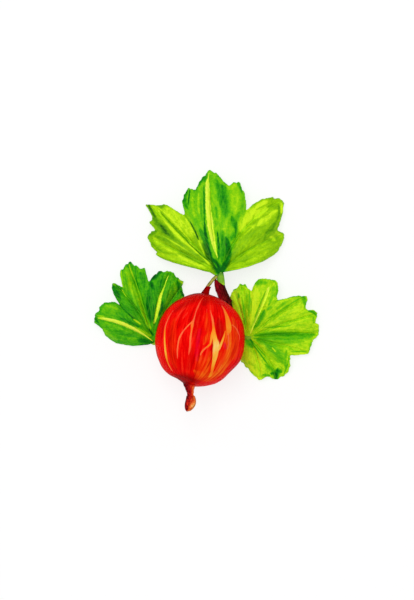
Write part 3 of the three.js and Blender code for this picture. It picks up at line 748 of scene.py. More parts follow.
    (0.06, 0.55, 0.3, [(1.2, 2.6), (0.5, 1.0), (0.2, -0.2)]),
    (0.8, 0.3, 0.25, [(-4.0, 2.2), (-3.0, 1.5), (-2.2, 0.8)]),
    (0.42, 0.15, 0.12, [(-1.6, 2.3), (-0.8, 1.1)]),
]
LEFT_EDGE = [
    (-1.2, -0.42), (-2.8, -0.58), (-4.4, -0.75), (-5.4, -0.62), (-6.8, -0.45), (-8.3, -0.12), (-9.65, 0.7),
    (-10.5, 1.35), (-11.05, 2.25), (-11.4, 3.05), (-12.7, 4.05), (-13.25, 4.85), (-13.35, 5.5), (-12.75, 6.3),
    (-12.0, 6.9), (-11.9, 7.8), (-11.25, 8.35), (-10.15, 8.95), (-8.6, 8.95), (-7.6, 8.45), (-8.7, 10.4),
    (-9.3, 12.0), (-9.25, 13.3), (-7.9, 12.75), (-6.9, 12.1), (-7.2, 13.8), (-7.55, 15.45), (-6.5, 16.8),
    (-5.5, 18.1), (-4.3, 17.1), (-3.2, 16.5), (-2.0, 16.35), (-1.6, 15.0), (-1.2, 13.4), (-0.3, 14.55),
    (0.8, 15.6), (2.3, 15.45), (3.85, 15.95), (4.7, 14.7), (6.6, 13.5), (6.05, 12.0), (6.85, 10.5),
    (6.1, 8.1), (4.7, 5.6), (2.8, 3.2), (1.3, 1.4),
]
LEFT_STROKES = [
    (0.56, 1.4, 0.9, [(-11.2, 7.2), (-9.6, 7.6), (-8.0, 6.9)]),
    (0.7, 0.3, 0.25, [(-10.6, 8.2), (-9.2, 7.9), (-8.0, 7.4)]),
    (0.2, 0.25, 0.18, [(-13.1, 6.5), (-13.2, 5.3), (-12.2, 4.4)]),
    (0.35, 0.14, 0.1, [(-12.0, 7.9), (-11.2, 8.5), (-9.8, 8.9), (-8.2, 8.7)]),
    (0.75, 0.25, 0.2, [(-12.4, 6.0), (-11.0, 5.7)]),
    (0.4, 0.8, 0.6, [(-8.2, 6.4), (-6.2, 5.4), (-4.4, 4.3)]),
    (0.2, 0.28, 0.22, [(-7.6, 5.5), (-5.5, 4.7), (-3.3, 3.5)]),
    (0.45, 1.9, 1.1, [(-9.8, 3.2), (-7.0, 2.0), (-4.3, 1.0)]),
    (0.62, 0.55, 0.45, [(-11.2, 3.2), (-10.2, 1.6), (-8.3, 0.6)]),
    (0.6, 0.3, 0.25, [(-10.8, 4.5), (-8.8, 3.6), (-7.0, 2.9)]),
    (0.35, 0.4, 0.3, [(-8.6, 2.6), (-6.4, 1.7), (-5.0, 1.6)]),
    (0.6, 0.35, 0.3, [(-5.8, 0.9), (-4.0, 1.0)]),
    (0.14, 0.6, 0.5, [(-3.4, 0.6), (-2.2, 0.5), (-0.2, 0.0)]),
    (0.1, 0.14, 0.1, [(-3.4, -0.5), (-1.8, -0.4), (0.0, -0.2)]),
    (0.76, 0.3, 0.2, [(-4.4, 3.5), (-3.0, 2.7), (-1.6, 2.0), (-0.6, 1.5)]),
    (0.12, 0.2, 0.12, [(-8.9, 10.5), (-7.5, 8.4), (-6.0, 6.8), (-4.6, 5.5), (-3.0, 4.2)]),
    (0.36, 0.8, 0.6, [(-7.6, 9.8), (-6.0, 8.0), (-4.4, 6.4)]),
    (0.14, 0.55, 0.4, [(-9.1, 12.6), (-8.4, 11.1), (-7.5, 9.5)]),
    (0.6, 0.22, 0.16, [(-9.3, 13.2), (-8.4, 12.8)]),
    (0.22, 0.3, 0.22, [(-8.3, 12.5), (-7.0, 11.7)]),
    (1.1, 0.1, 0.07, [(-7.1, 11.8), (-6.7, 11.1), (-6.2, 10.3)]),
    (0.15, 0.2, 0.14, [(-7.1, 16.6), (-6.2, 17.8), (-5.0, 17.8)]),
    (0.68, 1.0, 0.6, [(-6.2, 16.6), (-5.7, 13.5), (-5.0, 11.0), (-4.1, 8.4)]),
    (0.82, 0.22, 0.16, [(-7.3, 16.0), (-7.2, 14.2), (-6.8, 12.2)]),
    (0.5, 0.2, 0.15, [(-6.5, 15.5), (-6.2, 13.5), (-5.8, 11.6)]),
    (0.8, 0.22, 0.18, [(-5.6, 14.2), (-5.2, 12.2), (-4.6, 10.0)]),
    (0.45, 0.18, 0.14, [(-4.8, 13.2), (-4.4, 11.2), (-3.8, 9.2)]),
    (0.36, 0.7, 0.5, [(-5.4, 9.4), (-4.2, 7.2), (-3.0, 5.4)]),
    (0.45, 0.5, 0.4, [(-5.7, 11.4), (-5.3, 10.4), (-4.9, 9.4)]),
    (0.75, 0.3, 0.2, [
        (-4.2, 13.8), (-3.6, 12.0), (-3.1, 10.4), (-2.7, 9.0), (-2.3, 7.5), (-2.0, 6.0), (-1.7, 4.5),
        (-0.8, 3.0),
    ]),
    (0.72, 0.36, 0.3, [(-4.6, 12.8), (-4.1, 11.0), (-3.0, 8.6), (-1.95, 6.3), (-0.9, 3.9)]),
    (1.0, 0.13, 0.09, [(-5.6, 17.5), (-5.2, 16.2), (-4.7, 15.0), (-4.2, 13.6)]),
    (0.22, 0.12, 0.08, [(-4.25, 16.9), (-4.1, 15.0), (-3.7, 13.0), (-3.2, 11.5)]),
    (0.32, 0.11, 0.08, [(-3.2, 13.0), (-2.75, 10.8), (-2.4, 9.0), (-1.95, 7.6)]),
    (0.5, 0.3, 0.25, [(-3.6, 16.9), (-3.3, 15.6)]),
    (0.26, 0.38, 0.28, [(-3.0, 15.7), (-2.4, 14.2), (-2.2, 12.2)]),
    (0.48, 0.2, 0.15, [(-2.1, 16.4), (-1.75, 14.8), (-1.5, 13.2)]),
    (0.45, 0.3, 0.22, [(-2.8, 13.2), (-2.3, 11.0), (-1.9, 8.8)]),
    (0.72, 0.32, 0.28, [(-3.0, 8.6), (-2.65, 7.2), (-2.3, 5.8)]),
    (0.24, 1.25, 0.7, [(-0.6, 13.0), (-0.6, 10.0), (-0.5, 7.0), (-0.3, 5.2)]),
    (0.4, 0.3, 0.25, [(-1.5, 13.4), (-1.4, 11.8)]),
    (0.08, 0.32, 0.22, [(-1.5, 10.2), (-1.4, 8.0), (-1.1, 6.4), (-0.7, 4.6)]),
    (0.4, 0.2, 0.15, [(-0.2, 11.6), (0.1, 9.6), (0.1, 7.8)]),
    (0.04, 0.5, 0.35, [(-0.9, 13.9), (0.1, 14.6), (1.0, 15.5), (1.7, 15.9)]),
    (0.08, 0.35, 0.25, [(-0.7, 13.6), (-0.3, 12.2)]),
    (0.32, 0.6, 0.4, [(1.3, 13.8), (1.0, 12.2), (0.8, 10.6)]),
    (0.15, 0.15, 0.1, [(1.9, 14.6), (1.5, 13.0), (1.3, 11.8)]),
    (0.62, 0.3, 0.22, [(1.8, 15.9), (3.0, 15.8), (4.0, 15.8)]),
    (0.55, 0.35, 0.28, [(2.2, 15.0), (3.2, 14.4)]),
    (0.5, 0.9, 0.6, [(3.9, 14.2), (3.6, 12.0), (3.2, 10.4), (2.3, 8.8)]),
    (0.62, 0.4, 0.3, [(4.6, 13.2), (4.8, 11.0)]),
    (0.3, 0.16, 0.12, [(3.7, 13.4), (3.4, 11.6), (2.8, 9.8)]),
    (0.15, 0.35, 0.25, [(1.9, 9.2), (1.7, 7.4), (1.2, 6.0)]),
    (0.35, 0.14, 0.1, [(4.1, 16.0), (4.7, 14.8), (5.4, 14.1)]),
    (0.18, 0.32, 0.25, [(5.2, 13.6), (5.6, 12.3), (5.3, 10.8)]),
    (0.95, 0.25, 0.18, [(5.5, 14.0), (6.5, 13.1)]),
    (0.1, 0.25, 0.18, [(5.9, 11.6), (6.6, 10.2)]),
    (0.85, 0.24, 0.18, [(-1.9, 4.6), (-1.2, 3.8), (-0.5, 3.1)]),
    (1.0, 0.2, 0.14, [(-4.5, 5.2), (-3.7, 4.7), (-2.9, 4.1)]),
    (0.02, 0.2, 0.14, [(-1.2, 3.0), (-0.6, 2.3), (-0.1, 1.6)]),
]
RIGHT_EDGE = [
    (-1.0, 0.85), (-1.9, 3.3), (-3.0, 5.8), (-3.9, 7.6), (-4.0, 9.2), (-3.3, 10.45), (-2.45, 11.0),
    (-1.6, 11.8), (-0.6, 11.7), (0.0, 10.8), (0.8, 10.3), (1.1, 11.4), (1.6, 12.25), (2.3, 12.8),
    (3.35, 13.0), (4.8, 13.05), (6.35, 12.2), (6.7, 11.0), (6.3, 8.9), (6.6, 8.25), (8.8, 8.9), (11.0, 9.3),
    (12.85, 9.15), (12.95, 8.25), (12.6, 7.0), (12.9, 6.0), (14.3, 6.15), (15.35, 5.35), (14.9, 3.8),
    (15.75, 1.8), (15.2, 0.2), (14.0, -1.0), (13.85, -2.4), (13.35, -3.5), (11.4, -3.85), (9.3, -3.8),
    (9.3, -5.6), (8.75, -7.6), (7.5, -8.6), (6.3, -9.4), (5.2, -8.85), (4.0, -8.45), (2.95, -9.25),
    (2.15, -8.95), (1.65, -8.55), (-0.1, -6.75), (-1.65, -4.9), (-1.2, -2.7), (-0.95, -1.6), (-0.9, -0.75),
]
RIGHT_STROKES = [
    (0.45, 0.5, 0.4, [(-0.5, -0.3), (0.2, -1.2), (1.0, -2.1)]),
    # The strokes lighter than 1 on this lobe, beside the berry, are painted light that lifts the berry's
    # shadow.
    (1.15, 0.5, 0.4, [(-3.2, 10.2), (-3.0, 8.6), (-2.6, 7.2)]),
    (1.12, 0.5, 0.4, [(-3.3, 7.6), (-2.5, 5.8), (-1.8, 4.2)]),
    (0.5, 0.14, 0.1, [(-2.2, 10.0), (-1.9, 8.3)]),
    (1.12, 0.6, 0.5, [(-1.9, 8.6), (-1.5, 6.4), (-1.1, 4.2)]),
    (0.7, 0.3, 0.28, [(-1.4, 8.6), (-1.05, 6.5), (-0.8, 4.8), (-0.55, 3.0)]),
    (0.7, 0.24, 0.2, [(-0.4, 10.2), (-0.3, 8.0), (-0.15, 6.1)]),
    (1.08, 0.14, 0.09, [(-1.25, 10.5), (-1.1, 8.4)]),
    (0.95, 0.25, 0.2, [(-1.9, 7.5), (-1.5, 6.1)]),
    (0.5, 0.14, 0.1, [(-1.8, 11.7), (-0.9, 11.8), (-0.2, 11.2)]),
    (0.5, 0.14, 0.1, [(-3.3, 10.6), (-2.4, 11.1)]),
    (0.6, 0.18, 0.13, [(0.35, 10.4), (0.25, 8.0), (0.15, 4.8)]),
    (0.58, 0.55, 0.4, [(1.4, 12.0), (2.6, 12.4), (4.0, 12.2)]),
    (1.0, 0.5, 0.35, [(0.7, 10.2), (1.3, 9.2)]),
    (1.04, 0.7, 0.5, [(1.9, 10.9), (1.5, 8.0), (1.15, 5.2)]),
    (0.66, 0.14, 0.1, [(0.65, 8.8), (0.7, 6.5), (0.8, 4.2)]),
    (1.05, 0.3, 0.22, [(1.15, 7.4), (1.0, 5.0), (0.7, 3.0)]),
    (0.5, 0.11, 0.08, [(3.8, 10.2), (2.95, 8.2), (2.2, 6.4), (1.5, 4.4)]),
    (0.7, 0.5, 0.4, [(5.6, 11.4), (5.9, 9.2)]),
    (0.9, 0.35, 0.25, [(5.1, 10.9), (4.3, 8.4)]),
    (0.55, 0.14, 0.1, [(4.9, 13.0), (6.2, 12.3), (6.45, 10.6), (6.3, 9.0)]),
    (0.62, 0.28, 0.22, [(5.5, 9.5), (4.5, 7.2)]),
    (0.38, 0.46, 0.44, [(3.6, 6.1), (3.2, 5.1), (2.8, 4.1), (1.9, 2.6)]),
    (0.5, 0.3, 0.25, [(2.0, 3.2), (1.3, 2.0)]),
    (0.45, 0.13, 0.09, [(6.1, 8.1), (8.5, 8.9), (10.5, 9.25), (12.3, 9.2)]),
    (0.6, 0.22, 0.17, [(12.0, 9.0), (9.5, 7.6), (8.0, 6.6), (6.4, 5.4), (4.4, 4.3)]),
    (0.62, 0.3, 0.25, [(8.9, 8.2), (6.3, 6.4)]),
    (0.62, 0.35, 0.3, [(5.2, 6.9), (4.2, 6.2)]),
    (0.98, 0.8, 0.6, [(11.3, 7.0), (10.6, 5.4), (9.8, 4.2)]),
    (0.92, 0.5, 0.4, [(8.0, 4.9), (6.4, 3.9), (4.6, 3.0)]),
    (0.96, 0.5, 0.4, [(12.6, 5.2), (13.4, 4.2)]),
    (0.2, 0.3, 0.26, [(12.1, 9.1), (12.7, 8.6)]),
    (0.5, 0.4, 0.3, [(12.0, 8.9), (12.6, 8.1), (12.6, 7.3)]),
    (0.5, 0.15, 0.1, [(12.8, 7.9), (12.4, 6.2)]),
    (0.35, 0.28, 0.2, [(13.4, 6.0), (14.6, 5.7), (15.2, 4.9)]),
    (0.6, 0.2, 0.15, [(14.5, 4.6), (14.6, 3.2)]),
    (0.58, 0.12, 0.09, [(3.6, 2.2), (6.5, 2.45), (9.4, 2.7)]),
    (0.98, 0.12, 0.09, [(3.6, 1.9), (8.0, 2.1), (12.4, 2.1)]),
    (0.6, 0.9, 0.6, [(2.6, 0.4), (8.0, 0.2), (14.0, 0.3)]),
    (0.48, 0.5, 0.45, [(1.4, 0.5), (4.0, 0.85), (6.5, 0.9), (9.0, 0.8), (12.0, 0.6), (14.8, 0.7)]),
    (0.38, 0.22, 0.2, [(5.0, 0.8), (7.5, 0.75), (10.0, 0.6)]),
    (0.5, 0.2, 0.18, [(1.2, -0.1), (4.0, -0.25), (8.0, -0.3), (11.5, -0.2)]),
    (0.5, 0.6, 0.5, [(2.0, -0.5), (3.3, -0.8), (5.0, -1.0)]),
    (0.62, 0.35, 0.28, [(4.0, -0.9), (8.0, -1.0), (12.4, -0.8)]),
    (0.94, 0.4, 0.3, [(9.8, -2.2), (12.9, -2.6)]),
    (0.6, 0.12, 0.09, [(9.6, -3.0), (13.2, -3.1)]),
    (1.05, 0.2, 0.13, [(9.4, -3.5), (13.2, -3.6)]),
    (0.6, 0.14, 0.1, [(14.0, -0.8), (13.6, -3.0)]),
    (0.54, 1.1, 0.8, [(4.2, -1.6), (6.5, -3.2), (7.6, -5.3)]),
    (0.95, 0.85, 0.5, [(0.1, -3.3), (1.6, -5.2), (3.5, -6.9)]),
    (1.05, 0.25, 0.2, [(1.9, -4.6), (2.9, -5.6)]),
    (1.02, 0.45, 0.35, [(0.2, -6.0), (1.4, -7.3), (2.6, -8.1), (3.5, -7.9)]),
    (0.12, 0.2, 0.14, [(0.0, 0.0), (0.6, -0.5), (1.2, -1.2)]),
    (0.35, 0.15, 0.1, [(0.4, -0.5), (1.8, -2.4), (3.0, -4.0), (4.4, -5.9)]),
    (0.52, 0.13, 0.09, [(1.0, -0.9), (2.4, -2.4), (4.0, -4.2)]),
    (0.92, 0.1, 0.08, [(2.1, -1.8), (3.6, -3.5)]),
    (0.82, 0.14, 0.1, [(-1.5, -4.9), (0.0, -6.8), (1.2, -7.9), (2.2, -8.5)]),
    (1.05, 0.12, 0.09, [(5.3, -2.1), (6.1, -3.1)]),
    (0.92, 0.12, 0.09, [(4.5, -4.5), (6.0, -5.7)]),
    (0.55, 0.42, 0.35, [(3.9, -5.9), (5.1, -6.9), (6.0, -7.6)]),
    (0.56, 0.3, 0.24, [(8.5, -2.8), (8.2, -5.0), (8.4, -7.0)]),
    (0.5, 0.13, 0.09, [(9.1, -4.0), (8.8, -6.0), (8.0, -8.0)]),
    (0.3, 0.4, 0.3, [(6.6, -7.2), (7.5, -7.7)]),
    (0.28, 0.36, 0.28, [(5.0, -7.9), (6.0, -7.9)]),
    (0.13, 0.48, 0.42, [(6.6, -6.9), (6.35, -8.0), (6.2, -9.4)]),
    (0.5, 0.26, 0.2, [(3.2, -8.2), (4.9, -8.4)]),
    (1.05, 0.3, 0.2, [(2.2, -8.9), (3.0, -9.1)]),
]
# arch is how high a blade bulges, pleat how high it folds up between veins, and ground its plain shade. A
# spoke is a main vein or, first and last, a free margin: the angle of its tip, its curl on the way there, its
# length and its tip's height. stalk is the leaf stalk's middle line in the frame, with its radius. bands are
# the pale stripes on main veins, as places with half widths, and lines are thin ones. olive are the lobes
# where the green is yellower, as places with half widths.
LEAVES = {
    "leaf_top": {
        "base": (4.46, 14.89, 6.9), "arch": 1.3, "pleat": 0.9, "ground": 0.64, "seed": 1.0,
        "edge": TOP_EDGE,
        "spokes": [
            (179, 0, 10, 5.0), (154, -3, 17.9, 1.6), (137, -4, 22.4, 0.25), (96, 8, 22.6, 1.0),
            (50, 25, 20.9, 0.25), (31, 17, 16.2, 1.2), (2, 0, 8, 5.2),
        ],
        "stalk_on_spur": True,
        "stalk": [
            (4.54, 12.2, 6.5, 0.86), (4.44, 13.3, 6.75, 0.84), (4.4, 14.3, 6.75, 0.76),
            (4.45, 15.1, 6.45, 0.55), (4.35, 16.2, 6.3, 0.4), (4.1, 17.6, 6.3, 0.2),
        ],
        "bands": [
            [
                (-2.6, 22.3, 0.08), (-2.7, 21.0, 0.12), (-2.95, 20.3, 0.45), (-2.9, 18.0, 0.55),
                (-2.85, 16.0, 0.6), (-2.75, 14.0, 0.72), (-2.45, 12.0, 0.76), (-2.25, 10.0, 0.78),
                (-1.85, 8.0, 0.66), (-1.55, 6.5, 0.52), (-1.25, 5.0, 0.34), (-0.85, 3.8, 0.12),
                (-0.6, 3.1, 0.03),
            ],
        ],
        "lines": [
            [
                (-2.3, 18.2), (-2.4, 16.0), (-2.35, 14.0), (-2.15, 12.0), (-2.05, 10.0), (-1.7, 8.0),
                (-1.5, 7.0),
            ],
        ],
        "olive": [
            [(-2.2, 1.2, 1.0), (-5.2, 3.9, 2.9), (-9.0, 7.2, 4.9), (-13.0, 10.4, 6.4), (-17.0, 13.0, 7.0)],
            [(2.2, 1.2, 1.0), (5.4, 4.4, 3.3), (9.0, 8.6, 5.6), (12.0, 12.0, 6.6), (14.0, 14.5, 7.0)],
            [(-2.0, 0.2, 0.9), (-6.0, 1.3, 1.5), (-11.0, 2.9, 1.8), (-15.0, 6.0, 1.8)],
            [(2.0, 0.4, 0.8), (5.0, 1.5, 1.5), (9.0, 3.2, 2.0), (12.4, 5.6, 2.2), (14.0, 8.0, 1.8)],
        ],
        "strokes": TOP_STROKES,
    },
    "leaf_left": {
        "base": (-10.34, -0.6, 1.5), "arch": 0.9, "pleat": 0.8, "ground": 0.44, "seed": 2.0,
        "edge": LEFT_EDGE,
        "spokes": [
            (190, 0, 6, 0.25), (158, -13, 14.2, 2.6), (125, -17, 16.0, 1.8), (107, -1, 18.7, 0.25),
            (77, 13, 16.3, 2.2), (63, 14, 14.6, 1.2), (44, 0, 7, 0.9),
        ],
        "stalk_on_spur": False,
        "stalk": [
            (-12.2, 0.3, 1.3, 0.25), (-11.0, -0.4, 1.3, 0.4), (-10.2, -0.75, 1.2, 0.5),
            (-8.4, -0.3, 0.75, 0.5), (-6.8, 1.7, 0.54, 0.5), (-4.8, 4.5, 0.52, 0.5), (-1.2, 6.4, 0.55, 0.5),
            (2.2, 6.8, 0.9, 0.52), (4.6, 6.55, 1.5, 0.66),
        ],
        "bands": [
            [
                (3.3, 15.0, 0.06), (2.75, 13.8, 0.12), (2.35, 12.4, 0.13), (1.8, 11.2, 0.24),
                (1.4, 10.2, 0.36), (1.15, 8.8, 0.46), (0.85, 7.4, 0.46), (0.6, 6.3, 0.37), (0.3, 5.1, 0.29),
                (0.05, 4.4, 0.2),
            ],
            [
                (-12.4, 5.5, 0.14), (-11.0, 5.3, 0.36), (-9.8, 5.05, 0.42), (-8.6, 4.8, 0.43),
                (-7.4, 4.4, 0.48), (-6.3, 3.95, 0.46), (-5.3, 3.5, 0.44), (-4.2, 2.95, 0.38),
                (-3.1, 2.3, 0.28), (-2.0, 1.65, 0.2), (-1.1, 1.0, 0.14), (-0.3, 0.35, 0.06),
            ],
        ],
        "lines": [],
        "olive": [],
        "strokes": LEFT_STROKES,
    },
    "leaf_right": {
        "base": (10.51, 0.5, 1.6), "arch": 0.9, "pleat": 0.7, "ground": 0.88, "seed": 3.0,
        "edge": RIGHT_EDGE,
        "spokes": [
            (119, 0, 8.4, 0.75), (107, -4, 10.7, 1.5), (96, 4, 11.6, 2.2), (67, -3, 13.8, 3.0),
            (34.5, 6, 15.4, 2.6), (19, 5, 16.2, 1.6), (3, 6, 15.8, 0.25), (-14, 4, 13.8, 1.4),
            (-56, 20, 11.4, 0.25), (-73, 14, 9.7, 1.2), (-112, 0, 5, 0.8),
        ],
        "stalk_on_spur": False,
        "stalk": [
            (12.4, 0.9, 1.5, 0.25), (11.3, 0.65, 1.5, 0.45), (10.4, 0.4, 1.35, 0.85), (9.3, 0.6, 1.0, 0.8),
            (7.8, 2.4, 0.75, 0.55), (6.95, 4.3, 1.2, 0.66),
        ],
        "bands": [
            [
                (4.6, 11.2, 0.16), (4.4, 10.6, 0.32), (3.85, 8.7, 0.36), (3.3, 7.5, 0.34), (2.7, 6.2, 0.3),
                (2.1, 4.9, 0.25), (1.6, 3.8, 0.22), (1.1, 2.5, 0.19), (0.7, 1.4, 0.17), (0.5, 0.9, 0.06),
            ],
        ],
        "lines": [
            [(3.8, 9.8), (3.0, 7.6), (2.1, 5.4), (1.3, 3.2)],
        ],
        "olive": [],
        "strokes": RIGHT_STROKES,
    },
}


def blade_height(plan, distance, angle):
    """The height of a blade's middle surface at distances and angles in degrees from its base."""
    tips, curls, lengths, ends = np.array(plan["spokes"], float).T
    directions = tips[:, None] + curls[:, None] * (1 - np.minimum(distance / lengths[:, None], 1))
    k = (angle < directions[1:-1]).sum(0)
    column = np.arange(len(distance))
    before, after = directions[k, column], directions[k + 1, column]
    share = np.clip((before - angle) / (before - after), 0, 1)
    turn = smooth(share, 0, 1)
    along = distance / (lengths[k] + (lengths[k + 1] - lengths[k]) * turn)
    tip = ends[k] + (ends[k + 1] - ends[k]) * turn
    base = plan["base"][2]
    sweep_height = base + (tip - base) * along + 4 * plan["arch"] * along * (1 - along)
    between_veins = (k > 0) & (k < len(tips) - 2)
    pleated = np.where(between_veins, np.sin(np.pi * share) ** 0.8, 0)
    height = sweep_height + plan["pleat"] * pleated * smooth(along, 0, 0.6)
    return np.maximum(height, LOWEST_MIDDLE)


def main_veins(plan):
    """The curves of a blade's main veins, from the base outwards."""
    ends_at, count = 0.96, 18
    curves = []
    for tip, curl, length, _ in plan["spokes"][1:-1]:
        distance = np.linspace(0, ends_at * length, count)
        turn = np.radians(tip + curl * (1 - distance / length))
        curves.append(np.stack([distance * np.cos(turn), distance * np.sin(turn)], 1))
    return curves


def side_veins(plan):
    """The thinner veins that branch off the main ones and bend towards their tips."""
    chance = random.Random(int(plan["seed"]) * 5)
    steps, bend = 8, math.radians(3.2)
    first_place, ends_at, gaps, leans = 3.0, 0.93, (1.7, 2.5), (34, 44)
    curves = []
    for vein in main_veins(plan):
        length = np.linalg.norm(vein[-1])
        way = np.gradient(vein, axis=0)
        heading = np.arctan2(way[:, 1], way[:, 0])
        rows = np.arange(len(vein))
        for side in (-1, 1):
            place = first_place + chance.uniform(0, 1)
            while place < ends_at * length:
                i = place / length * (len(vein) - 1)
                x, y = (np.interp(i, rows, vein[:, axis]) for axis in (0, 1))
                turn = np.interp(i, rows, heading) + side * math.radians(chance.uniform(*leans))
                reach = 0.30 * length * math.sin(math.pi * min(place / length + 0.12, 1)) + 0.8
                curve = [(x, y)]
                for _ in range(steps):
                    x, y = x + reach / steps * math.cos(turn), y + reach / steps * math.sin(turn)
                    turn -= side * bend
                    curve.append((x, y))
                curves.append(np.array(curve))
                place += chance.uniform(*gaps)
    return curves


def blade_edge(plan):
    """A blade's evenly spaced outline with its fine teeth, and its distance from the base without them."""
    edge = evenly(rounded(plan["edge"], 2, 0.13), RIM_POINTS, 2)
    travelled = np.arange(RIM_POINTS) * np.linalg.norm(np.diff(edge, axis=0), axis=1).mean()
    wave = np.stack([travelled, np.full(RIM_POINTS, plan["seed"]), np.zeros(RIM_POINTS)], 1)
    nibble = bumps(wave, TEETH) * (smooth(travelled, 0, 2) * smooth(travelled[::-1], 0, 2))
    reach = np.linalg.norm(edge, axis=1)
    return edge * (1 + (nibble + RIM_MARGIN) / reach)[:, None], reach


def blade_levels(plan, flat, out, distance, angle, vein, side):
    """The heights of a blade's upper and lower side, with its grooves, ribs and ruffles."""
    spread = np.hstack([flat, np.full((len(flat), 1), plan["seed"] * 7)])
    cushion = CUSHION_HEIGHT * (1 - bell(side, 0.45)) * (1 - bell(vein, 0.7))
    relief = cushion * smooth(out, 0.05, 0.3) + bumps(spread, RUFFLES) * smooth(out, 0.1, 0.9)
    groove = GROOVE_DEPTH * bell(vein, 0.34) * smooth(distance, 0.5, 3)
    middle = blade_height(plan, distance, angle) + relief - RIM_CURL * smooth(out, 0.86, 1.0)
    half = BLADE_THICKNESS / 2 * (1 - RIM_THINNING * smooth(out, 0.93, 1.0))
    rib = (RIB_HEIGHT - RIB_LOSS * np.minimum(distance / RIB_LENGTH, 1)) * bell(vein, 0.3)
    side_rib = SIDE_RIB_HEIGHT * bell(side, 0.16)
    upper = middle + half - groove
    lower = middle - half - rib - side_rib
    lift = np.maximum(LOWEST_UNDERSIDE - lower, 0)
    return upper + lift, lower + lift


def blade_faces():
    """The faces of a blade that fans out from its base in rings, from one free margin to the other."""
    top = [(0, 2 + i, 1 + i) for i in range(RIM_POINTS - 1)]
    last_ring = 1 + (BLADE_RINGS - 1) * RIM_POINTS
    starts = list(range(1, last_ring, RIM_POINTS))
    for a in starts:
        b = a + RIM_POINTS
        top += [(a + i, a + i + 1, b + i + 1, b + i) for i in range(RIM_POINTS - 1)]
    outer = [last_ring + i for i in range(RIM_POINTS)]
    back = [start + RIM_POINTS - 1 for start in reversed(starts)]
    return sheet_faces(top, [0] + starts + outer + back, BLADE_POINTS)


def blade_tone(plan, flat):
    """How light each point's green is after all the strokes."""
    tone = np.full(len(flat), plan["ground"])
    for shade, half_width, soft, line in plan["strokes"]:
        line = rounded(line)
        gap, place = nearest(flat, line)
        taper = 0.25 + 0.75 * np.sin(np.pi * np.clip(place / (len(line) - 1), 0.02, 0.98)) ** 0.7
        mask = 1 - smooth(gap / taper, half_width - soft, half_width + soft)
        tone = tone + (shade - tone) * mask
    return tone


def least_gap(points, curves):
    """Each point's distance to the nearest of some curves."""
    gap = np.full(len(points), FAR)
    for curve in curves:
        gap = np.minimum(gap, nearest(points, curve)[0])
    return gap


def blade(plan):
    """A blade's points, faces and values."""
    edge, reach = blade_edge(plan)
    rings = np.linspace(0, 1, BLADE_RINGS + 1)[1:] ** 0.85
    flat = np.vstack([[(0, 0)], (rings[:, None, None] * edge[None]).reshape(-1, 2)])
    out = np.concatenate([[0], np.repeat(rings, RIM_POINTS)])
    distance = np.linalg.norm(flat, axis=1)
    edge_angle = np.degrees(np.arctan2(edge[:, 1], edge[:, 0]))
    edge_angle = np.where(edge_angle < SEAM_ANGLE, edge_angle + 360, edge_angle)
    angle = np.concatenate([[90], np.tile(edge_angle, BLADE_RINGS)])
    vein = np.full(BLADE_POINTS, FAR)
    for curve in main_veins(plan):
        gap, place = nearest(flat, curve)
        vein = np.minimum(vein, gap * (1 + 0.9 * place / len(curve)))
    side = least_gap(flat, side_veins(plan))
    x, y, _ = plan["base"]
    levels = blade_levels(plan, flat, out, distance, angle, vein, side)
    points = np.vstack([np.column_stack([flat + (x, y), level]) for level in levels])

    band, olive = np.full(BLADE_POINTS, OUTSIDE), np.zeros(BLADE_POINTS)
    for rows in plan["bands"]:
        band = np.maximum(band, band_depth(flat, rows))
    for rows in plan["olive"]:
        olive = np.maximum(olive, smooth(band_depth(flat, rows), -0.06, 0.22))
    grain = [np.radians(angle) * 14, distance * 0.32, np.full(BLADE_POINTS, plan["seed"] * 11)]
    one_side = {
        "tone": blade_tone(plan, flat), "olive": olive, "band": band, "side": side,
        "line": least_gap(flat, [rounded(rows) for rows in plan["lines"]]),
        "vein": vein + 0.3 * (1 - smooth(distance, 1.2, 4.5)),
        "rim": (1 - out) * np.concatenate([[reach.mean()], np.tile(reach, BLADE_RINGS)]),
        "grain": np.stack(grain, 1),
    }
    values = {key: np.concatenate([value, value]) for key, value in one_side.items()}
    values["under"] = np.repeat([0.0, 1.0], BLADE_POINTS)
    return points, blade_faces(), values


def leaf_stalk(plan):
    """A leaf stalk with a groove along its top, as points, faces and values."""

    def grooved(turns, share):
        return 1 - 0.12 * bell(turns - math.pi / 2, 0.4) + 0.03 * np.cos(5 * turns)

    points, faces, angles, shares = sweep(plan["stalk"], STALK_STEPS, STALK_SIDES, grooved)
    if plan["stalk_on_spur"]:
        along = np.array((0.03, 0.98, 0.2))
        short = np.maximum((SPUR_TIP - points) @ SPUR_TIP_NORMAL, 0)
        points = points + along * (short / (along @ SPUR_TIP_NORMAL))[:, None]
    # Painted light and shade: lit lightens one side of the stalk, and shaded is painted shade on the part
    # past about a third of its length.
    lit = 0.34 * np.clip(np.cos(angles - 0.6), -1, 0.3)
    foot = 0.3 * smooth(0.2 - shares, 0, 0.2)
    shaded = 0.3 * smooth(shares, 0.3, 0.45)
    blank = np.zeros(len(points))
    values = {key: blank + FAR for key in ("line", "vein", "side", "rim")}
    values.update(
        tone=0.44 + lit + foot - shaded, olive=blank + 1, band=blank + OUTSIDE, under=blank + 0.4,
        grain=np.stack([angles * 3, shares * 4, blank + plan["seed"]], 1),
    )
    return points, faces, values


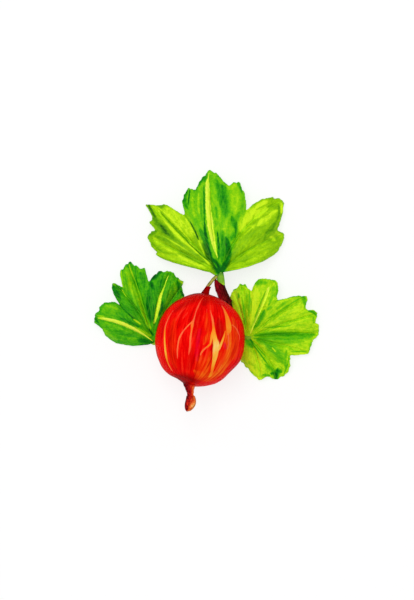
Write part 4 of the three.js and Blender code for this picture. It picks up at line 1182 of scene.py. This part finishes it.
def leaf_material(name):
    shader = Shader(name)
    where = shader.place()
    streaks = shader.noise(shader.vector("grain"), 0.6, 4, 0.7)
    mottle = shader.noise(where, 0.8, 3, 0.6)
    speck = shader.noise(where, 0.24, 2)
    tone = shader.add(shader.value("tone"), shader.about(streaks, 0.32))
    tone = shader.add(tone, shader.add(shader.about(mottle, 0.2), shader.about(speck, 0.15)))
    colour = shader.ramp(tone, [
        (0.0, (2, 86, 16)), (0.2, (16, 134, 12)), (0.42, (62, 172, 8)), (0.62, (108, 198, 6)),
        (0.82, (152, 218, 6)), (1.0, (204, 244, 26)),
    ])
    yellower = shader.ramp(tone, [
        (0.0, (22, 88, 12)), (0.2, (64, 130, 4)), (0.42, (100, 168, 2)), (0.62, (134, 194, 4)),
        (0.82, (166, 220, 6)), (1.0, (208, 248, 30)),
    ])
    colour = shader.mix(shader.value("olive"), colour, yellower)
    thin = shader.step(shader.value("side"), 0.03, 0.16, 0.14, 0.0)
    colour = shader.mix(thin, colour, (130, 210, 50))
    main = shader.step(shader.value("vein"), 0.05, 0.26, 0.22, 0.0)
    colour = shader.mix(main, colour, (120, 206, 50))
    edge = shader.add(shader.value("band"), shader.about(shader.noise(where, 0.5, 3), 0.3))
    yellow = shader.mix(shader.step(streaks, 0.35, 0.65), (216, 252, 44), (240, 255, 84))
    colour = shader.mix(shader.step(edge, 0.0, 0.3), colour, yellow)
    line = shader.step(shader.value("line"), 0.03, 0.14, 0.7, 0.0)
    colour = shader.mix(line, colour, (150, 176, 14))
    rim = shader.step(shader.value("rim"), 0.0, 0.35, 0.14, 0.0)
    colour = shader.mix(rim, colour, (84, 150, 12))
    colour = shader.mix(shader.times(shader.value("under"), 0.55), colour, (150, 196, 96))
    cells = shader.new("ShaderNodeTexVoronoi", {"Vector": where, "Scale": 1.5}, feature="DISTANCE_TO_EDGE")
    net = shader.step(cells.outputs["Distance"], 0.0, 0.12)
    relief = shader.add(shader.times(net, 0.6), shader.times(speck, 0.4))
    return shader.finish(
        Base_Color=colour, Roughness=shader.step(mottle, 0.2, 0.8, 0.48, 0.64), Specular_IOR_Level=0.06,
        Normal=shader.bump(relief, 0.035, 0.6),
    )


def leaves():
    for name, plan in LEAVES.items():
        points, faces, values = joined(blade(plan), leaf_stalk(plan))
        make(name + "_blade_and_stalk", points, faces, leaf_material(name), name, values)


# ---- Stalk, spur and withered flower ----
def green_stalk():
    rows = [
        (1.3, 11.4, 8.14, 0.35), (1.62, 11.95, 8.0, 0.37), (2.07, 12.5, 7.8, 0.37), (2.58, 13.13, 7.45, 0.36),
        (3.04, 13.7, 7.1, 0.37), (3.42, 13.98, 6.85, 0.4), (3.8, 13.95, 6.6, 0.34),
    ]

    def uneven(turns, share):
        return 1 + 0.06 * np.cos(3 * turns + 6 * share) + 0.05 * math.sin(22 * share)

    points, faces, angles, shares = sweep(rows, STALK_STEPS, STALK_SIDES, uneven)
    shader = Shader("green_stalk")
    streaks = shader.noise(shader.vector("grain"), 0.8, 3)
    # edge is painted shade along the stalk's flanks.
    tone = shader.add(streaks, shader.value("edge"))
    colour = shader.ramp(tone, [(0.25, (196, 190, 92)), (0.5, (140, 136, 34)), (0.75, (80, 74, 6))])
    share = shader.value("share")
    colour = shader.mix(shader.step(share, 0.0, 0.28, 0.8, 0.0), colour, (190, 150, 90))
    colour = shader.mix(shader.step(share, 0.85, 1.0, 0.0, 0.7), colour, (110, 62, 20))
    material = shader.finish(
        Base_Color=colour, Roughness=0.5, Specular_IOR_Level=0.12, Normal=shader.bump(streaks, 0.03, 0.5)
    )
    grain = np.stack([np.cos(angles) * 1.5, np.sin(angles) * 1.5, shares * 3], 1)
    # Painted shade: the stalk is darker along both flanks and lighter along its top.
    edge = 0.55 * np.abs(np.cos(angles)) ** 3 - 0.14
    values = {"grain": grain, "share": shares, "edge": edge}
    make("fruit_stalk_stem", points, faces, material, "fruit_stalk", values)


def bark_material():
    shader = Shader("spur_bark")
    streaks = shader.noise(shader.vector("grain"), 0.5, 5, 0.65)
    fine = shader.noise(shader.place(), 0.12, 3)
    dark = shader.ramp(streaks, [(0.3, (44, 0, 5)), (0.5, (102, 4, 12)), (0.7, (172, 34, 26))])
    crimson = shader.ramp(streaks, [(0.3, (118, 0, 12)), (0.5, (156, 4, 24)), (0.7, (196, 22, 44))])
    # Painted light and shade: the left side is lighter crimson, the right darker, nearly black at its far
    # right flank.
    side = shader.add(shader.value("left"), shader.about(streaks, 0.25))
    colour = shader.mix(shader.step(side, 0.48, 0.78), dark, crimson)
    colour = shader.mix(shader.step(side, 0.0, 0.2, 0.75, 0.0), colour, (26, 0, 4))
    colour = shader.mix(shader.times(shader.value("cut"), 0.7), colour, (40, 2, 8))
    relief = shader.add(streaks, shader.times(fine, 0.4))
    return shader.finish(
        Base_Color=colour, Roughness=shader.step(fine, 0.3, 0.7, 0.55, 0.8), Specular_IOR_Level=0.06,
        Normal=shader.bump(relief, 0.06, 0.7),
    )


def woody_spur():
    rows = [
        (3.98, 13.9, 7.0, 0.72), (4.02, 13.0, 6.4, 0.92), (4.16, 12.2, 5.85, 1.06), (4.62, 10.9, 5.05, 1.12),
        (5.2, 9.3, 3.9, 1.22), (5.8, 7.4, 2.6, 1.26), (6.0, 6.2, 1.8, 1.2), (6.0, 5.2, 1.38, 1.1),
    ]
    steps, sides = 170, 84
    lowest = 0.03
    grain_bumps, fine_bumps = [(0.14, 0.8, 0), (0.1, 0.3, 4)], [(0.05, 0.25, 9)]
    knob_place, knob_height, knob_size = (6.55, 8.75, 3.9), 0.38, 0.55
    toward_tip = np.array((-0.27, 0.82, 0.5))

    def angular(turns, share):
        return 1 + 0.06 * np.cos(5 * turns + 0.6) + 0.03 * np.cos(9 * turns + 8 * share)

    points, faces, angles, shares = sweep(rows, steps, sides, angular)
    grain = np.stack([np.cos(angles) * 3.2, np.sin(angles) * 3.2, shares * 4.5], 1)
    outward = outward_from(points, rows, steps, shares)
    bark = bumps(grain, grain_bumps) + bumps(points, fine_bumps)
    knob = knob_height * bell(np.linalg.norm(points - knob_place, axis=1), knob_size)
    points = points + outward * (bark + knob)[:, None]
    beyond = np.maximum((points - SPUR_TIP) @ SPUR_TIP_NORMAL, 0)
    points = points - toward_tip * (beyond / (toward_tip @ SPUR_TIP_NORMAL))[:, None]
    points[:, 2] = np.maximum(points[:, 2], lowest)
    # left is painted light: the spur is lighter on its left side and in painted shade on its right.
    left = np.clip(0.5 - 0.5 * outward[:, 0] / 0.8, 0, 1)
    values = {"grain": grain, "left": left, "cut": (beyond > 0).astype(float)}
    make("woody_spur_bark", points, faces, bark_material(), "woody_spur", values)


# The withered flower's middle line, with its radius.
FLOWER = [
    (-2.45, -9.0, 10.95, 1.5), (-2.42, -9.7, 11.12, 1.28), (-2.38, -10.4, 11.28, 1.02),
    (-2.33, -10.9, 11.36, 0.86), (-2.24, -11.55, 11.44, 0.7), (-2.19, -12.1, 11.52, 0.7),
    (-2.12, -12.65, 11.6, 0.86), (-2.13, -13.2, 11.7, 1.0), (-2.24, -13.9, 11.8, 1.06),
    (-2.38, -14.55, 11.88, 0.9), (-2.6, -15.1, 11.94, 0.58), (-2.8, -15.52, 12.0, 0.12),
]
FLOWER_BUMPS = [(0.14, 0.6, 0), (0.06, 0.22, 3)]
SEPALS = 5
SEPAL_STEPS = 30
SEPAL_ACROSS = 11
# Where along y the sepals start, and the length, half width and thickness of the longest one.
SEPAL_FOOT = -12.15
SEPAL_LENGTH = 3.55
SEPAL_HALF_WIDTH = 0.55
SEPAL_THICKNESS = 0.1


def flower_material():
    shader = Shader("dried_flower")
    streaks = shader.noise(shader.vector("grain"), 0.5, 4, 0.6)
    blotch = shader.noise(shader.place(), 0.6, 2)
    fine = shader.noise(shader.place(), 0.14, 3)
    # warm is the flower's own crimson to orange, with painted light and shade in it.
    warm = shader.add(shader.value("warm"), shader.about(streaks, 0.24))
    speckle = shader.noise(shader.place(), 0.3, 3)
    warm = shader.add(warm, shader.add(shader.about(blotch, 0.3), shader.about(speckle, 0.36)))
    colour = shader.ramp(warm, [
        (0.0, (110, 0, 10)), (0.18, (176, 8, 12)), (0.38, (224, 42, 16)), (0.56, (242, 104, 40)),
        (0.78, (255, 152, 72)), (1.0, (255, 194, 116)),
    ])
    # deep is painted shade in the creases, at the sepals' edges and where the flower meets the berry.
    colour = shader.mix(shader.value("deep"), colour, (78, 6, 6))
    return shader.finish(
        Base_Color=colour, Roughness=shader.step(fine, 0.3, 0.7, 0.5, 0.75), Specular_IOR_Level=0.05,
        Normal=shader.bump(shader.add(streaks, shader.times(fine, 0.5)), 0.05, 0.6),
    )


def flower_warmth_and_light(points):
    """How far from crimson towards orange the dried flower is: its own colour, with painted shade making it
    redder on its left, lighter orange on its right, and a painted highlight low on the bulb.
    """
    line = rounded(FLOWER, 2)
    place = nearest(points, line[:, :3])[1]
    order = np.arange(len(line))
    aside = points[:, 0] - np.interp(place, order, line[:, 0])
    sideways = aside / np.interp(place, order, line[:, 3])
    # Painted highlight low on the bulb, right of its middle.
    low = smooth(-points[:, 1], 13.1, 14.0) * (1 - 0.7 * smooth(-points[:, 1], 14.5, 15.2))
    narrow = (1 - smooth(-points[:, 1], 12.0, 12.9)) * (1 - smooth(sideways, 0.2, 0.9))
    # Painted light and shade: redder on the left, more orange on the right.
    across = 0.3 * np.clip(sideways, -1.1, 1.1)
    return 0.36 + across + 0.26 * low * smooth(sideways, -0.5, 0.4) - 0.17 * narrow


def fold(turns, share):
    """The dried flower's twisted folds: 1 on a ridge, 0 in a crease."""
    return np.abs(np.cos(2.5 * (turns + 1.6 * share)))


def flower_body():
    """The shrivelled tube of the flower, as points, faces and values."""

    def folded(turns, share):
        depth = 0.05 + 0.13 * smooth(share, 0.45, 0.7)
        return 1 + depth * (fold(turns, share) - 0.6) + 0.03 * np.cos(13 * turns)

    steps, sides = 160, 96
    points, faces, angles, shares = sweep(FLOWER, steps, sides, folded)
    outward = outward_from(points, FLOWER, steps, shares)
    points = points + outward * bumps(points, FLOWER_BUMPS)[:, None]
    crease = 1 - fold(angles, shares)
    # Painted shade in the creases of the folds and at the flower's foot, by the berry.
    deep = np.maximum(0.5 * smooth(crease, 0.6, 1.0), 0.36 * (1 - smooth(shares, 0.02, 0.2)))
    grain = np.stack([np.cos(angles) * 2, np.sin(angles) * 2, shares * 4.5], 1)
    return points, faces, {"grain": grain, "deep": deep, "warm": flower_warmth_and_light(points)}


def sepal_faces():
    """The faces of a strip of rows of points."""
    width = SEPAL_ACROSS
    last_row = SEPAL_STEPS * width
    top = []
    for row in range(0, last_row, width):
        top += [(c, c + 1, c + width + 1, c + width) for c in range(row, row + width - 1)]
    border = list(range(width, last_row + width, width)) + list(range(last_row + 1, last_row + width))
    border += list(range(last_row - 1, 0, -width)) + list(range(width - 2, -1, -1))
    return sheet_faces(top, border, last_row + width)


def sepal(i):
    """One shrivelled sepal, a thin pointed strip that hugs the bud and curls at its tip."""
    chance = random.Random(60 + i)
    turn = 2 * math.pi * i / SEPALS + 0.5
    line = rounded(FLOWER, 3)
    length = chance.uniform(0.9, 1.0)
    flare = chance.uniform(0.0, 0.14)
    top, under, deep, grain = [], [], [], []
    for a in range(SEPAL_STEPS + 1):
        share = a / SEPAL_STEPS
        y = SEPAL_FOOT - SEPAL_LENGTH * share * length
        x, z, radius = (np.interp(-y, -line[:, 1], line[:, column]) for column in (0, 2, 3))
        spot = np.array((x, y, z))
        half = SEPAL_HALF_WIDTH * math.sin(math.pi * (0.14 + 0.86 * share)) ** 0.8 + 0.02
        for b in range(SEPAL_ACROSS):
            lean = (b / (SEPAL_ACROSS - 1) - 0.5) * 2
            angle = turn + 1.0 * share + lean * half / max(radius, 0.35)
            ridge = 0.06 * (1 - abs(lean)) + 0.05 * math.cos(6 * lean + 9 * share) + flare * share**3
            around = np.array((math.cos(angle), 0, math.sin(angle)))
            top.append(spot + around * (radius + ridge + SEPAL_THICKNESS + 0.06 * abs(lean) ** 3))
            under.append(spot + around * (radius + ridge))
            # Painted shade at the sepal's edges, where it lies against the bud, and towards its foot.
            deep.append(0.45 * abs(lean) ** 5 + 0.2 * (1 - share) ** 2)
            grain.append((lean * 0.8, i * 3.0, share * 2.4))
    points = np.array(top + under)
    values = {"grain": np.array(grain * 2), "deep": np.array(deep * 2), "warm": flower_warmth_and_light(points)}
    return points, sepal_faces(), values


def withered_flower():
    points, faces, values = joined(flower_body(), *(sepal(i) for i in range(SEPALS)))
    material = flower_material()
    make("withered_flower_sepals", points, faces, material, "withered_flower", values)


# ---- Table, lights and camera ----
WHITE = (1, 1, 1, 1)


def table():
    """The surface that the object lies on. It glows, so that it comes out white with only faint shadows."""
    tint_size, glow = 60, 0.745
    bpy.ops.mesh.primitive_plane_add(size=3, location=(0, 0, 0))
    plane = bpy.context.object
    plane.name = "table"
    shader = Shader("table_white")
    tint = shader.noise(shader.place(), tint_size, 2)
    colour = shader.mix(tint, (139, 139, 139), (142, 142, 142))
    plane.data.materials.append(shader.finish(
        Base_Color=colour, Roughness=0.85, Specular_IOR_Level=0.1,
        Emission_Color=WHITE, Emission_Strength=glow,
    ))


def lights():
    """Even white light from all round, and one large soft lamp high up at the upper left."""
    azimuth, elevation, distance = math.radians(125), math.radians(76), 1.3
    all_round, lamp_size, lamp_power = 0.56, 0.8, 8.2
    world = bpy.data.worlds.new("studio")
    world.use_nodes = True
    background = world.node_tree.nodes["Background"]
    background.inputs["Color"].default_value = WHITE
    background.inputs["Strength"].default_value = all_round
    bpy.context.scene.world = world
    lamp = bpy.data.lights.new("key", "AREA")
    lamp.size = lamp_size
    lamp.energy = lamp_power
    holder = bpy.data.objects.new("key", lamp)
    level = math.cos(elevation)
    way = Vector((level * math.cos(azimuth), level * math.sin(azimuth), math.sin(elevation)))
    holder.location = way * distance
    holder.rotation_euler = way.to_track_quat("Z", "Y").to_euler()
    bpy.context.scene.collection.objects.link(holder)
    bpy.context.scene.view_settings.view_transform = "Standard"


def camera():
    """Straight above, with the flower end towards the bottom of the picture."""
    framed_height = 133.3
    lens = bpy.data.cameras.new("camera")
    lens.sensor_fit = "VERTICAL"
    lens.sensor_height = 36
    lens.lens = lens.sensor_height * CAMERA_PLACE[2] / framed_height
    lens.clip_end = 10
    holder = bpy.data.objects.new("camera", lens)
    holder.location = Vector(CAMERA_PLACE) * MM
    bpy.context.scene.collection.objects.link(holder)
    bpy.context.scene.camera = holder


camera()
lights()
table()
berry()
leaves()
green_stalk()
woody_spur()
withered_flower()
